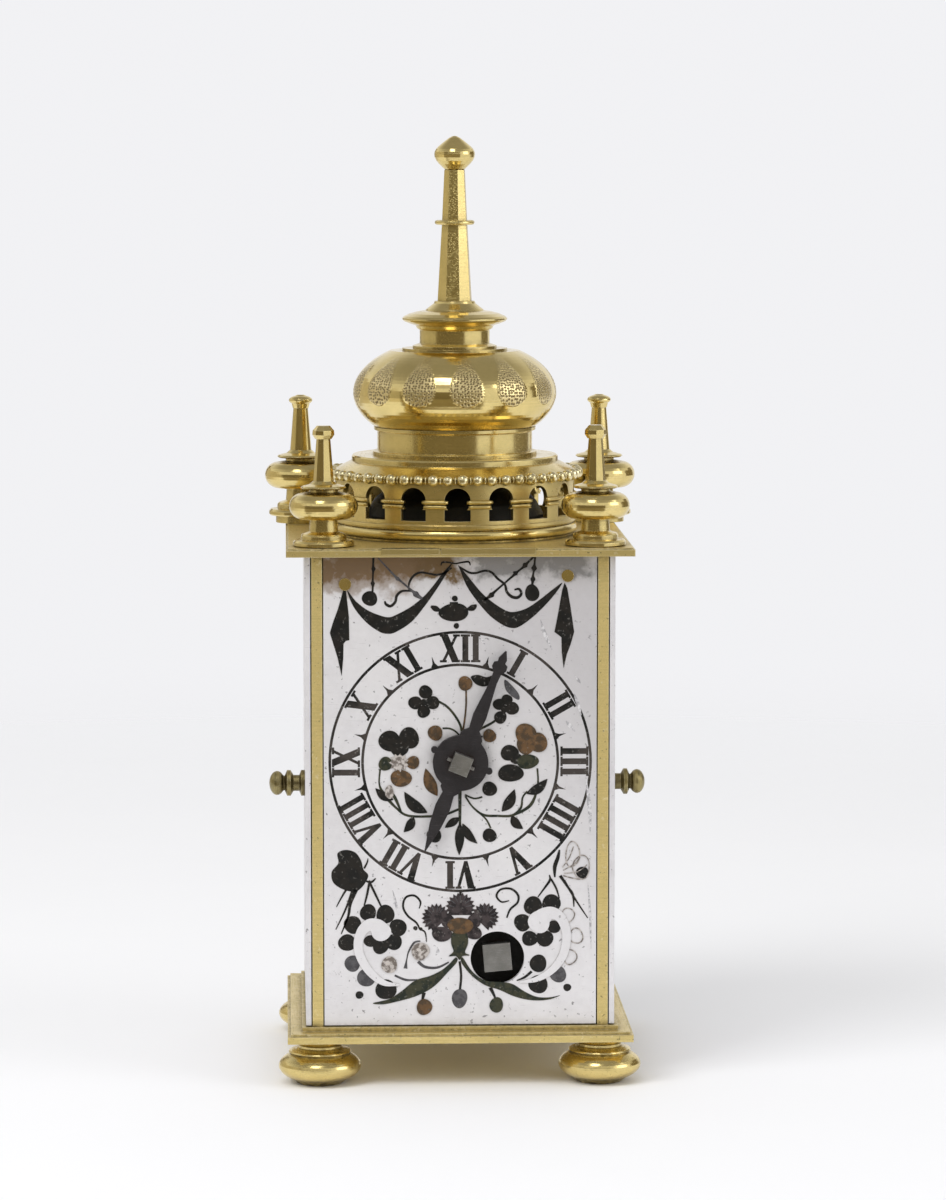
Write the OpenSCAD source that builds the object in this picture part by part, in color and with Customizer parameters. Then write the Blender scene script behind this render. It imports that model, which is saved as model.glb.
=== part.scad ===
// Lantern clock: a small spring-driven table clock in turret form, with one hand and a bell.
// X to the right, Y to the back, Z up; the origin is on the ground under the middle of the clock.

/* [Case] */
// Outer width and depth of the case
case_w = 40.2; // [36:0.2:44]
// Height of the case between base and top plate
case_h = 61.6; // [56:0.2:70]
// Thickness of a side door
door_t = 0.7; // [0.5:0.1:0.9]
// Thickness of the dial plate and the back plate
dial_t = 1.0; // [0.8:0.1:1.2]
// Width of a corner post that shows beside the dial plate
post_face = 1.4; // [1.2:0.1:1.8]
// Width and depth of a whole corner post
post_w = 3.2; // [2.8:0.1:3.6]
// Gap round a door
door_gap = 0.15; // [0.1:0.05:0.25]
// Gap beside the dial plate
dial_gap = 0.15; // [0.1:0.05:0.3]
// Radius of a door's hinge rod
hinge_r = 0.4; // [0.36:0.02:0.44]

/* [Base and top plate] */
// Overhang of the base plate past the case
base_over = 2.4; // [1.4:0.1:3.9]
// Thickness of the base plate
base_t = 1.3; // [1.0:0.1:2]
// Overhang of the raised platform past the case
platform_over = 0.5; // [0.4:0.1:1.4]
// Thickness of the raised platform
platform_t = 0.6; // [0.4:0.1:1]
// Overhang of the top plate past the case
top_over = 2.4; // [1.4:0.1:3.9]
// Thickness of the top plate
top_t = 1.1; // [1.0:0.1:1.8]

/* [Feet and finials] */
// Height of a foot
foot_h = 5.8; // [5:0.1:8]
// Radius of a foot's bun
foot_r = 5.4; // [4.4:0.05:5.6]
// Distance of a foot's axis inside the case's outside
foot_in = 1.8; // [1.6:0.1:2.3]
// Radius of a screw stud on a foot
stud_r = 0.8; // [0.6:0.05:0.9]
// Height of a front finial
finial_h = 15.6; // [13:0.1:18]
// Height of a back finial above its plinth
finial_back_h = 16.4; // [14:0.1:18]
// Height of the plinth under a back finial
finial_plinth = 1; // [0.4:0.1:1.6]
// Radius of a front finial's bulb
finial_r = 4.45; // [3.6:0.05:4.6]
// Radius of a back finial's bulb
finial_back_r = 4.9; // [4:0.05:5.1]
// Distance of a front finial's axis inside the case's side
finial_front_in = 2.5; // [2.1:0.1:2.7]
// Distance of a back finial's axis inside the case's side
finial_back_in = -0.3; // [-0.5:0.1:0.5]
// Distance of a finial's axis inside the case's front or back
finial_deep = 1.9; // [1.8:0.1:2.2]

/* [Gallery and roof] */
// Outer radius of the gallery wall
gallery_r = 15.9; // [15.4:0.1:16.4]
// Thickness of the gallery wall
gallery_t = 0.7; // [0.5:0.1:0.9]
// Height of the gallery wall above its base ring
gallery_h = 5.8; // [5.6:0.1:7]
// Number of arches in the gallery
arches = 17; // [14:1:20]
// Width of an arch
arch_w = 3.4; // [2.6:0.1:3.6]
// Height of the gallery's base ring
ring_h = 1.9; // [1.5:0.1:2.4]
// Overhang of the lid's rim past the gallery
lid_over = 0.3; // [0.1:0.1:0.8]
// Set-back of the lid's step from its rim
step_in = 2.5; // [2:0.1:4]
// Height of the lid with its step
lid_h = 2.9; // [2.6:0.1:3.4]
// Radius of the drum
drum_r = 10.3; // [9:0.1:10.6]
// Height of the drum
drum_h = 3.7; // [3:0.1:5]
// Widest radius of the dome
dome_r = 13.5; // [12:0.1:15]
// Height of the dome
dome_h = 10.4; // [9.5:0.1:12]
// Thickness of the dome's shell
shell_t = 0.8; // [0.6:0.1:1.2]
// Radius of the neck
neck_r = 4.65; // [4:0.05:5.5]
// Height of the neck with its flange
neck_h = 6.2; // [5.5:0.1:7.5]
// Height of the spire
spire_h = 17.3; // [14:0.1:22]
// Width of the spire across corners at its foot
spire_w = 4.7; // [4:0.1:5.2]
// Radius of the knob on the spire
knob_r = 2.7; // [2.2:0.1:3.2]
// Height of the knob on the spire
knob_h = 4.5; // [4:0.1:6]
// Radius of the rod that clamps the roof together
tie_r = 0.8; // [0.6:0.05:1]

/* [Dial] */
// Height of the dial's centre above the platform
dial_z = 34.7; // [33:0.1:36]
// Radius of the dial's outer circle
ring_out_r = 17.1; // [16.6:0.1:17.2]
// Radius of the dial's inner circle
ring_in_r = 12.5; // [12:0.1:13]
// Width of an enamel line
line_w = 0.35; // [0.25:0.05:0.5]
// Height of a numeral
numeral_h = 3.65; // [3:0.05:3.7]
// Depth of the enamel
enamel_t = 0.25; // [0.15:0.05:0.35]
// Length of the hand's pointer
hand_l = 15.7; // [13:0.1:16.5]
// Length of the hand's tail
tail_l = 12.4; // [10:0.1:14]
// Radius of the hand's boss
boss_r = 3.6; // [3:0.1:4.5]
// Angle at which the hand stands, clockwise from the top
hand_turn = 22; // [0:1:359]
// Width of the square end of the hour arbor
hand_sq = 2.5; // [2:0.1:2.6]

/* [Side knobs and winding] */
// Height of a side knob above the platform
side_knob_z = 30.5; // [20:0.1:40]
// Distance of a side knob in front of the middle plane
side_knob_y = 9; // [4:0.5:14]
// Length of a side knob outside its door
side_knob_l = 4.7; // [4:0.1:6]
// Distance of the winding arbor from the middle plane
wind_x = 4.84; // [4:0.02:5.4]
// Height of the winding arbor above the platform
wind_z = 8.9; // [8.8:0.1:9.6]
// Radius of the winding hole
wind_hole_r = 3.5; // [3.2:0.1:4]
// Width of the winding square
wind_sq = 3.6; // [3:0.1:3.8]

/* [Train] */
// Tooth module of the going train
gear_m = 0.29; // [0.27:0.005:0.3]
// Teeth of the great wheel
great_n = 56; // [52:4:56]
// Teeth of the second wheel
second_n = 48; // [44:4:48]
// Teeth of the third wheel
third_n = 40; // [36:4:40]
// Teeth of the fourth wheel
fourth_n = 36; // [32:4:36]
// Leaves of the second arbor's pinion
second_pinion_n = 7; // [6:1:7]
// Leaves of the later train pinions
pinion_n = 6; // [6:1:7]
// Tooth module of the idler wheel
motion_m = 0.46; // [0.46:0.01:0.48]
// Tooth module of the hour wheel
hour_m = 0.58; // [0.57:0.01:0.6]
// Teeth of the idler wheel
idler_n = 32; // [32:4:36]
// Teeth of the hour wheel
hour_n = 24; // [24:1:26]
// Leaves of the two pinions behind the dial
motion_pinion_n = 8; // [7:1:9]
// Thickness of a wheel
wheel_t = 0.8; // [0.6:0.1:1]
// Thickness of a movement bar
bar_t = 1.4; // [1.2:0.1:1.8]
// Radius of the bell's mouth
bell_r = 11.8; // [11.4:0.1:12.2]
// Radius of the balance wheel
balance_r = 8.4; // [7:0.1:8.8]

/* [Hidden] */
$fn = 64;
eps = 0.01;
run = 0.04; // running clearance of a shaft in its hole
skin = 0.1; // gap between pieces that pass close by

base_z = foot_h;
case_z = base_z + base_t + platform_t;
top_z = case_z + case_h;
deck_z = top_z + top_t;
half = case_w / 2;
front_y = -half;
base_w = case_w + 2 * base_over;
platform_w = case_w + 2 * platform_over;
top_w = case_w + 2 * top_over;
foot_at = half - foot_in;
finial_front_x = half - finial_front_in;
finial_back_x = half - finial_back_in;
finial_y = half - finial_deep;
post_out = half - door_t - door_gap;
plate_half = post_out - post_face - dial_gap;
plate_z = case_z + dial_gap;
plate_h = case_h - 2 * dial_gap;
hinge_x = half - door_t / 2;
hinge_y = half - 0.7;
hinge_depth = 0.6;
dial_c = case_z + dial_z;

lid_r = gallery_r + lid_over;
step_r = lid_r - step_in;
gallery_turn = -0.7; // an arch's middle stands this far off the front, in degrees
spire_turn = 14; // turn of the spire's corners, in degrees
ring_z = deck_z;
wall_z = ring_z + ring_h;
lid_z = wall_z + gallery_h;
drum_z = lid_z + lid_h;
dome_z = drum_z + drum_h;
neck_z = dome_z + dome_h;
spire_z = neck_z + neck_h;
tip_z = spire_z + spire_h;
tie_in = 4;
bell_h = 5.6;
bell_t = 0.8;
bell_z = lid_z - bell_h;
nut_t = 1.1;

// Movement planes, from front to back
bar_front = front_y + dial_t + 3.7;
bar_rear = 13;
bar_w = 29;
bar_low_h = 47;
bar_neck_w = 10;
tenon_w = 6;
tenon_h = 0.6;
motion_y = bar_front - 0.8 - wheel_t;
hour_y = motion_y - 0.2 - wheel_t;
inner_y = bar_front + bar_t;
barrel_y = inner_y + 1.5;
barrel_l = 12;
great_y = barrel_y + barrel_l;
second_y = great_y + wheel_t + 1.3;
third_y = second_y + wheel_t + 2.2;
fourth_y = third_y + wheel_t + 2.2;
pinion_l = 2 * wheel_t + 0.4;

// Radii of gears and arbors
arbor_r = 0.5;
pivot_r = 0.3;
wind_r = 1.5;
wind_back_r = 1.2;
hour_r = 1.0;
great_r = great_n * gear_m / 2;
second_r = second_n * gear_m / 2;
third_r = third_n * gear_m / 2;
fourth_r = fourth_n * gear_m / 2;
pinion_r = pinion_n * gear_m / 2;
barrel_r = great_r - 0.6;

// Places of the arbors in the XZ plane, each reached from the one before
function polar(r, a) = [r * cos(a), r * sin(a)];
function meet(p, rp, q, rq) =
    let (d = norm(q - p), u = (q - p) / d, s = (rp * rp - rq * rq + d * d) / (2 * d))
    p + u * s + [u[1], -u[0]] * sqrt(rp * rp - s * s);
wind_p = [wind_x, case_z + wind_z];
second_p = wind_p + [0, great_r + second_pinion_n * gear_m / 2];
third_angle = 110;
mesh_gap = 0.45; // the opened mesh between second wheel and third pinion
third_p = second_p + polar(second_r + pinion_r + mesh_gap, third_angle);
fourth_angle = 80;
fourth_p = third_p + polar(third_r + pinion_r, fourth_angle);
crown_reach = fourth_r + pinion_r;
crown_p = [0, fourth_p[1] + sqrt(crown_reach * crown_reach - fourth_p[0] * fourth_p[0])];
hour_p = [0, dial_c];
idler_p = meet(second_p, (idler_n + motion_pinion_n) * motion_m / 2,
    hour_p, (hour_n + motion_pinion_n) * hour_m / 2);
hammer_out = 11.5;
hammer_up = 7.6;
hammer_p = hour_p + [-hammer_out, hammer_up];
hammer_angle = atan2(hammer_up, -hammer_out);
hammer_swing = 2.8;
crown_r = 4.2;
crown_n = 15;
crown_tip_y = 1.3;
crown_web_y = crown_tip_y + 2.2;
pallet_r = 1.2;
verge_r = 0.45;
verge_low = crown_p[1] - 7;
balance_z = deck_z + 1.1;
balance_t = 0.7;
cock_z = balance_z + balance_t + 1;
cock_t = 0.8;
hammer_r = 0.9;
hammer_top = bell_z + 1.4;
hammer_x = -bell_r - skin * 3 - 0.8;
hammer_slot = 2.2;
lift_r = 2.9;
lift_pin_r = 0.2;
lift_y = inner_y + 1.4;
potence_x = 2.2;
potence_y = -3;
potence_t = 1.2;
ratchet_r = 4.2;
ratchet_depth = 0.6;
ratchet_n = 12;
click_angle = 150;
click_p = wind_p + polar(ratchet_r + 1.7, click_angle);
click_reach = 38;
brass = [0.79, 0.64, 0.33];
silver = [0.84, 0.83, 0.84];
steel = [0.35, 0.34, 0.36];
enamel = [0.22, 0.22, 0.21];

// A turned piece from a list of radius and height points
module turned(points) rotate_extrude() polygon(points);
function curve(rx, rz, cz, a0, a1, n) =
    [for (i = [0:n]) let (a = a0 + (a1 - a0) * i / n) [rx * cos(a), cz + rz * sin(a)]];

// A shaft along Y from y0 to y1 through point p of the XZ plane
module shaft(p, y0, y1, r) translate([p[0], y1, p[1]]) rotate([90, 0, 0]) cylinder(h = y1 - y0, r = r);

// A flat shape drawn in X and Z, from y to y + t
module flat(y, t) translate([0, y + t, 0]) rotate([90, 0, 0]) linear_extrude(t) children();

// Outline of a toothed wheel with a tooth at the given angle
module teeth(n, m, turn, tip = 0.85, root = 1.15) {
    r = n * m / 2;
    p = 360 / n;
    polygon([for (i = [0:n - 1]) for (k = [[-0.25, -root], [-0.09, tip], [0.09, tip], [0.25, -root]])
        polar(r + k[1] * m, turn + (i + k[0]) * p)]);
}

// A toothed wheel at point p from y, one tooth towards the given angle
module wheel(p, y, t, n, m, turn, hole)
    flat(y, t) translate(p) difference() {
        teeth(n, m, turn);
        circle(r = hole);
    }

// A wheel with a rim and four arms
module crossed_wheel(p, y, t, n, m, turn, hole) {
    r = n * m / 2 - 1.15 * m - 0.8;
    flat(y, t) translate(p) difference() {
        teeth(n, m, turn);
        circle(r = hole);
        difference() {
            circle(r = r);
            circle(r = hole + 1);
            for (a = [0, 90]) rotate(a) square([2 * r + 1, 0.9], center = true);
        }
    }
}

// A pinion at point p from y, one gap towards the given angle
module pinion(p, y, t, n, m, gap, trim = 0)
    flat(y, t) translate(p) teeth(n, m - trim, gap + 180 / n, 0.65, 1.1);

// Case frame
module foot(sx, sy) color(brass * 0.8) translate([sx * foot_at, sy * foot_at, 0]) {
    bun_h = foot_h * 0.4;
    turned(concat([[0, 0], [foot_r * 0.53, 0]],
        curve(foot_r, bun_h, bun_h, -48, 44, 12),
        [[foot_r * 0.74, foot_h * 0.7], [foot_r * 0.76, foot_h * 0.72], [foot_r * 0.74, foot_h * 0.75],
        [foot_r * 0.6, foot_h * 0.78], [foot_r * 0.52, foot_h * 0.82], [foot_r * 0.52, foot_h * 0.87],
        [foot_r * 0.58, foot_h * 0.92], [foot_r * 0.63, foot_h], [0, foot_h]]));
    cylinder(h = foot_h + base_t + platform_t + 3, r = stud_r);
}

module each_foot_stud(r, h) for (x = [-1, 1]) for (y = [-1, 1])
    translate([x * foot_at, y * foot_at, base_z - eps]) cylinder(h = h + eps, r = r);

module hinge_rods(r) for (x = [-1, 1]) translate([x * hinge_x, hinge_y, case_z - hinge_depth])
    cylinder(h = case_h + 2 * hinge_depth, r = r);

module bar_tenons() for (y = [bar_front, bar_rear])
    translate([-tenon_w / 2, y, case_z - tenon_h]) cube([tenon_w, bar_t, case_h + 2 * tenon_h]);

module base_plate() color(brass) difference() {
    union() {
        translate([-base_w / 2, -base_w / 2, base_z]) cube([base_w, base_w, base_t * 0.72]);
        translate([-base_w / 2 + 0.4, -base_w / 2 + 0.4, base_z]) cube([base_w - 0.8, base_w - 0.8, base_t]);
        translate([-platform_w / 2, -platform_w / 2, base_z]) cube([platform_w, platform_w, case_z - base_z]);
    }
    each_foot_stud(stud_r, case_z - base_z + 1);
    hinge_rods(hinge_r + run);
    bar_tenons();
}

module post(sx, sy) color(brass) difference() {
    x0 = sx > 0 ? post_out - post_w : -post_out;
    y0 = sy > 0 ? half - post_w : -half;
    translate([x0, y0, case_z]) cube([post_w, post_w, case_h]);
    translate([-post_out + post_face, sy > 0 ? half - dial_t : -half - 1, case_z - 1])
        cube([2 * (post_out - post_face), dial_t + 1, case_h + 2]);
    translate([sx * foot_at, sy * foot_at, case_z - 1]) cylinder(h = 4, r = stud_r);
    if (sy < 0) translate([sx * finial_front_x, -finial_y, top_z - 3]) cylinder(h = 4, r = finial_stud_r);
    if (sy > 0) for (z = back_screw_zs) shaft([sx * back_screw_x, z], half - 3, half + 1, screw_r);
}
finial_stud_r = 0.6;
screw_r = 0.35;
back_screw_x = plate_half - 0.7;
back_screw_in = 5;
back_screw_zs = [case_z + back_screw_in, top_z - back_screw_in];

// Dial
rivet_r = 0.8;
rivet_shank_r = 0.45;
bracket_z = top_z - 5;
bracket_t = 0.8;
bracket_gap = 0.35;
bracket_x = post_out - post_w - bracket_gap;
rivet_in = 0.8;
rivets = [[rivet_in - bracket_x, top_z - 3.7], [bracket_x - rivet_in - 1, top_z - 2.7]];
bracket_y = front_y + dial_t;

serif_h = 0.3;
module numeral_bar(w, h) translate([-w / 2, 0]) square([w, h]);
module numeral_serifs(x, w, h) for (z = [0, h - serif_h]) translate([x - w / 2, z]) square([w, serif_h]);
module numeral_i(h) {
    numeral_bar(0.78, h);
    numeral_serifs(0, 1.22, h);
}
module numeral_v(h) {
    polygon([[-1.25, h], [-0.3, h], [0.26, 0.9], [0.18, 0], [-0.26, 0]]);
    polygon([[1.14, h], [0.74, h], [-0.12, 0.5], [0, 0], [0.18, 0]]);
    translate([-0.8, h - serif_h]) numeral_bar(1.05, serif_h);
    translate([0.9, h - serif_h]) numeral_bar(0.8, serif_h);
}
module numeral_x(h) {
    polygon([[-1.25, h], [-0.27, h], [1.25, 0], [0.27, 0]]);
    polygon([[1.1, h], [0.7, h], [-1.1, 0], [-0.7, 0]]);
    for (z = [0, h - serif_h]) for (x = [-0.85, 0.85]) translate([x, z]) numeral_bar(0.9, serif_h);
}
numeral_i_w = 1.34;
numeral_wide = 2.66;
numeral_max_w = 6.1;
numeral_foot_r = ring_in_r + (ring_out_r - ring_in_r - numeral_h) / 2 + 0.02;
numerals = ["I", "II", "III", "IIII", "V", "VI", "VII", "VIII", "IX", "X", "XI", "XII"];
function letter_w(c) = c == "I" ? numeral_i_w : numeral_wide;
function left_of(s, k) = k == 0 ? 0 : left_of(s, k - 1) + letter_w(s[k - 1]);
module numeral(s, h) scale([min(1, numeral_max_w / left_of(s, len(s))), 1]) for (k = [0:len(s) - 1])
    translate([left_of(s, k) + letter_w(s[k]) / 2 - left_of(s, len(s)) / 2, 0]) {
        if (s[k] == "I") numeral_i(h);
        if (s[k] == "V") numeral_v(h);
        if (s[k] == "X") numeral_x(h);
    }
module circle_line(r) difference() {
    circle(r = r, $fn = 120);
    circle(r = r - line_w, $fn = 120);
}
module enamel_shape() {
    circle_line(ring_out_r);
    circle_line(ring_in_r + line_w);
    for (i = [0:11]) rotate(-30 * (i + 1))
        translate([0, numeral_foot_r]) numeral(numerals[i], numeral_h);
    for (i = [0:11]) rotate(-30 * i - 15) translate([0, ring_in_r + line_w - 0.05])
        polygon([[-0.5, 0], [-0.16, 0.5], [0, 1.45], [0.16, 0.5], [0.5, 0]]);
}

module dial_plate() color(silver) difference() {
    translate([-plate_half, front_y, plate_z]) cube([2 * plate_half, dial_t, plate_h]);
    flat(front_y - 1, enamel_t + 1) translate(hour_p) enamel_shape();
    shaft(hour_p, front_y - 1, front_y + dial_t + 1, hub_r + 0.15);
    shaft(wind_p, front_y - 1, front_y + dial_t + 1, wind_hole_r);
    for (p = rivets) shaft(p, front_y - 1, front_y + dial_t + 1, rivet_shank_r);
}
module dial_enamel() color(enamel) flat(front_y, enamel_t) translate(hour_p) enamel_shape();
module dial_rivets() color(brass) for (p = rivets) {
    shaft(p, front_y - 0.2, front_y, rivet_r);
    shaft(p, front_y, bracket_y + bracket_t, rivet_shank_r);
}
bracket_screw_x = 9;
bracket_leg = 2.6;
bracket_screw_y = bracket_y + bracket_leg - 0.9;
module dial_bracket() color(brass) difference() {
    union() {
        translate([-bracket_x, bracket_y, bracket_z]) cube([2 * bracket_x, bracket_t, top_z - bracket_z]);
        translate([-bracket_x, bracket_y, top_z - bracket_t]) cube([2 * bracket_x, bracket_leg, bracket_t]);
    }
    for (p = rivets) shaft(p, bracket_y - 1, bracket_y + 2, rivet_shank_r);
    for (x = [-1, 1]) translate([x * bracket_screw_x, bracket_screw_y, top_z - 2])
        cylinder(h = 3, r = screw_r);
}
module screws() color(steel) {
    for (x = [-1, 1]) translate([x * bracket_screw_x, bracket_screw_y, top_z - bracket_t - 0.5]) {
        cylinder(h = 0.5, r = 0.75);
        cylinder(h = 0.5 + bracket_t + 0.7, r = screw_r);
    }
    for (x = [-1, 1]) for (z = back_screw_zs) {
        shaft([x * back_screw_x, z], half, half + 0.4, 0.8);
        shaft([x * back_screw_x, z], half - 2.8, half, screw_r);
    }
}

// Back plate and doors
module back_plate() color(silver) difference() {
    translate([-plate_half, half - dial_t, plate_z]) cube([2 * plate_half, dial_t, plate_h]);
    for (x = [-1, 1]) for (z = back_screw_zs) shaft([x * back_screw_x, z], half - 3, half + 1, screw_r);
}
shank_r = 0.6;
knob_p = [side_knob_y, case_z + side_knob_z];
module across(s, x, r, l)
    translate([s * x, -knob_p[0], knob_p[1]]) rotate([0, s * 90, 0]) cylinder(h = l, r = r);
module door(s) color(silver) difference() {
    union() {
        translate([s > 0 ? half - door_t : -half, front_y, case_z + door_gap])
            cube([door_t, half + hinge_y, case_h - 2 * door_gap]);
        translate([s * hinge_x, hinge_y, case_z - hinge_depth + 0.1])
            cylinder(h = case_h + 2 * hinge_depth - 0.2, r = hinge_r);
    }
    across(s, half - door_t - 1, shank_r, door_t + 2);
}
module side_knob(s) color(brass) {
    l = side_knob_l;
    translate([s * half, -knob_p[0], knob_p[1]]) rotate([0, s * 90, 0])
        turned(concat([[0, 0], [1.7, 0], [1.7, 0.5], [1.05, 0.75], [1.05, l * 0.32], [1.7, l * 0.4],
            [1.7, l * 0.5], [0.95, l * 0.57]], curve(1.6, l * 0.22, l * 0.78, -50, 90, 8)));
    across(s, half - door_t, shank_r, door_t + eps);
    across(s, half - door_t - 0.3, 1, 0.3);
}

// Top plate and finials
verge_hole_r = verge_r + 0.4;
module top_plate() color(brass) difference() {
    union() {
        translate([-top_w / 2, -top_w / 2, top_z]) cube([top_w, top_w, top_t * 0.8]);
        translate([-top_w / 2 + 0.25, -top_w / 2 + 0.25, top_z]) cube([top_w - 0.5, top_w - 0.5, top_t]);
    }
    for (x = [-1, 1]) {
        translate([x * finial_front_x, -finial_y, top_z - 1]) cylinder(h = top_t + 2, r = finial_stud_r);
        translate([x * finial_back_x, finial_y, deck_z - 0.8]) cylinder(h = 2, r = finial_stud_r);
        translate([x * bracket_screw_x, bracket_screw_y, top_z - 1]) cylinder(h = 1.7, r = screw_r);
        translate([x * cock_x, 0, deck_z - 0.7]) cylinder(h = 2, r = screw_r);
    }
    hinge_rods(hinge_r + run);
    bar_tenons();
    translate([0, 0, top_z - 1]) cylinder(h = top_t + 2, r = verge_hole_r);
    translate([hammer_x - hammer_slot / 2 - 0.4, -0.9, top_z - 1]) cube([hammer_slot, 1.8, top_t + 2]);
}
module finial(x, y, long, spike_fn, r, h, plinth) color(brass) translate([x, y, deck_z + plinth]) {
    rim = h * 0.108;
    turned(concat([[0, 0], [r * 0.86, 0], [r * 0.89, h * 0.01], [r * 0.89, h * 0.035], [r * 0.84, h * 0.052],
        [r * 0.66, h * 0.06], [r * 0.66, h * 0.09], [r * 0.62, h * 0.105], [r * 0.42, h * 0.125],
        [r * 0.4, h * 0.215]],
        [for (p = curve(rim, rim, h * 0.333, -76, 72, 12)) p + [r - rim, 0]],
        [[r * 0.42, h * 0.452], [r * 0.42, h * 0.47], [r * 0.62, h * 0.478], [r * 0.66, h * 0.488],
        [r * 0.62, h * 0.5], [r * 0.4, h * 0.517], [r * 0.31, h * 0.54], [0, h * 0.54]]));
    translate([0, 0, h * 0.53]) cylinder(h = h * 0.37, r1 = r * 0.3, r2 = r * 0.2, $fn = spike_fn);
    if (spike_fn == 8) {
        translate([0, 0, h * 0.89]) cylinder(h = h * 0.035, r1 = r * 0.24, r2 = r * 0.32, $fn = 8);
        translate([0, 0, h * 0.925]) cylinder(h = h * 0.035, r1 = r * 0.32, r2 = r * 0.31, $fn = 8);
        translate([0, 0, h * 0.96]) cylinder(h = h * 0.04, r1 = r * 0.31, r2 = r * 0.19, $fn = 8);
    } else turned(concat([[0, h * 0.89], [r * 0.22, h * 0.89]],
        curve(r * 0.33, h * 0.042, h * 0.955, -40, 62, 8), [[r * 0.1, h], [0, h]]));
    translate([0, 0, -plinth - long]) cylinder(h = plinth + long + eps, r = finial_stud_r);
    if (plinth > 0) translate([0, 0, -plinth]) cylinder(h = plinth + eps, r = r * 0.7);
}

// Gallery and roof
module gallery_ring() color(brass) turned(concat(
    [[gallery_r - gallery_t - 0.4, ring_z], [gallery_r - 0.2, ring_z], [gallery_r - 0.2, ring_z + 0.3]],
    [for (p = curve(0.75, 0.75, ring_z + ring_h / 2 + 0.05, -70, 70, 10)) p + [gallery_r - 0.3, 0]],
    [[gallery_r, wall_z], [gallery_r - gallery_t - 0.4, wall_z]]));

module arch_shape() {
    w = arch_w;
    foot = gallery_h * 0.17;
    top = gallery_h * 0.92;
    translate([-w / 2, foot]) square([w, gallery_h * 0.26]);
    translate([-w * 0.36, foot]) square([w * 0.72, gallery_h * 0.5]);
    translate([0, top - w / 2]) circle(r = w / 2, $fn = 32);
}
module gallery() color(brass) difference() {
    union() {
        turned([[gallery_r - gallery_t, wall_z], [gallery_r, wall_z], [gallery_r, lid_z],
            [gallery_r - gallery_t, lid_z]]);
        turned([[gallery_r - 0.2, wall_z], [gallery_r + 0.2, wall_z], [gallery_r + 0.2, wall_z + 0.4],
            [gallery_r - 0.2, wall_z + 0.6]]);
    }
    for (i = [0:arches - 1]) rotate([0, 0, i * 360 / arches + gallery_turn]) translate([0, 0, wall_z])
        flat(-gallery_r - 2, 4) arch_shape();
}

module lid() color(brass) turned([[tie_r + run, lid_z], [4, lid_z], [4, lid_z + 1],
    [gallery_r - 2.4, lid_z + 1], [gallery_r - 2.4, lid_z - 0.25],
    [gallery_r - gallery_t - 0.05, lid_z - 0.25], [gallery_r - gallery_t - 0.05, lid_z],
    [lid_r - 0.3, lid_z], [lid_r, lid_z + 0.3], [lid_r, lid_z + 0.8],
    [lid_r - 0.3, lid_z + 1.0], [step_r + 0.4, lid_z + lid_h * 0.66], [step_r, lid_z + lid_h * 0.72],
    [step_r, lid_z + lid_h * 0.93], [step_r - 0.2, lid_z + lid_h], [tie_r + run, lid_z + lid_h]]);

module drum() color(brass) turned([[drum_r - 1.2, drum_z], [drum_r + 0.6, drum_z],
    [drum_r + 0.6, drum_z + 0.45], [drum_r, drum_z + 0.6], [drum_r, dome_z - 0.6],
    [drum_r + 0.45, dome_z - 0.4], [drum_r + 0.45, dome_z],
    [drum_r - 1.2, dome_z]]);

// The dome is an ellipse cut flat at the drum and at the neck
dome_mid = 0.43;
dome_rz = dome_h * 0.7;
dome_a0 = -asin(dome_mid * dome_h / dome_rz);
dome_a1 = asin((1 - dome_mid - 0.03) * dome_h / dome_rz);
function dome_curve(inset, n) =
    curve(dome_r - inset, dome_rz - inset * 0.6, dome_z + dome_mid * dome_h, dome_a0, dome_a1, n);
function reversed(list) = [for (i = [len(list) - 1:-1:0]) list[i]];
module dome() color(brass) difference() {
    turned(concat([[0, dome_z]], dome_curve(0, 24),
        [[neck_r * 1.5, neck_z - dome_h * 0.03], [neck_r * 1.5, neck_z], [0, neck_z]]));
    turned(concat([[0, dome_z + shell_t]], [for (p = dome_curve(shell_t, 16))
        [p[0], max(dome_z + shell_t, min(neck_z - shell_t, p[1]))]], [[0, neck_z - shell_t]]));
    translate([0, 0, dome_z - 1]) cylinder(h = dome_h + 2, r = tie_r + run);
}
module neck() color(brass) {
    h = neck_h;
    r = neck_r;
    b = tie_r + run;
    turned([[b, neck_z], [r * 1.2, neck_z], [r * 1.2, neck_z + h * 0.05], [r, neck_z + h * 0.1],
        [r, neck_z + h * 0.38], [r * 1.08, neck_z + h * 0.42], [r * 1.12, neck_z + h * 0.48],
        [r * 1.32, neck_z + h * 0.53], [r * 1.45, neck_z + h * 0.57], [r * 1.5, neck_z + h * 0.61],
        [r * 1.5, neck_z + h * 0.64], [r * 1.44, neck_z + h * 0.68], [r * 1.28, neck_z + h * 0.735],
        [r * 1.05, neck_z + h * 0.78], [r * 0.84, neck_z + h * 0.8], [r * 0.81, neck_z + h * 0.83],
        [r * 0.72, neck_z + h * 0.88], [r * 0.6, neck_z + h * 0.95], [r * 0.57, neck_z + h],
        [b, neck_z + h]]);
}
spire_ring = 0.6;
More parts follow.
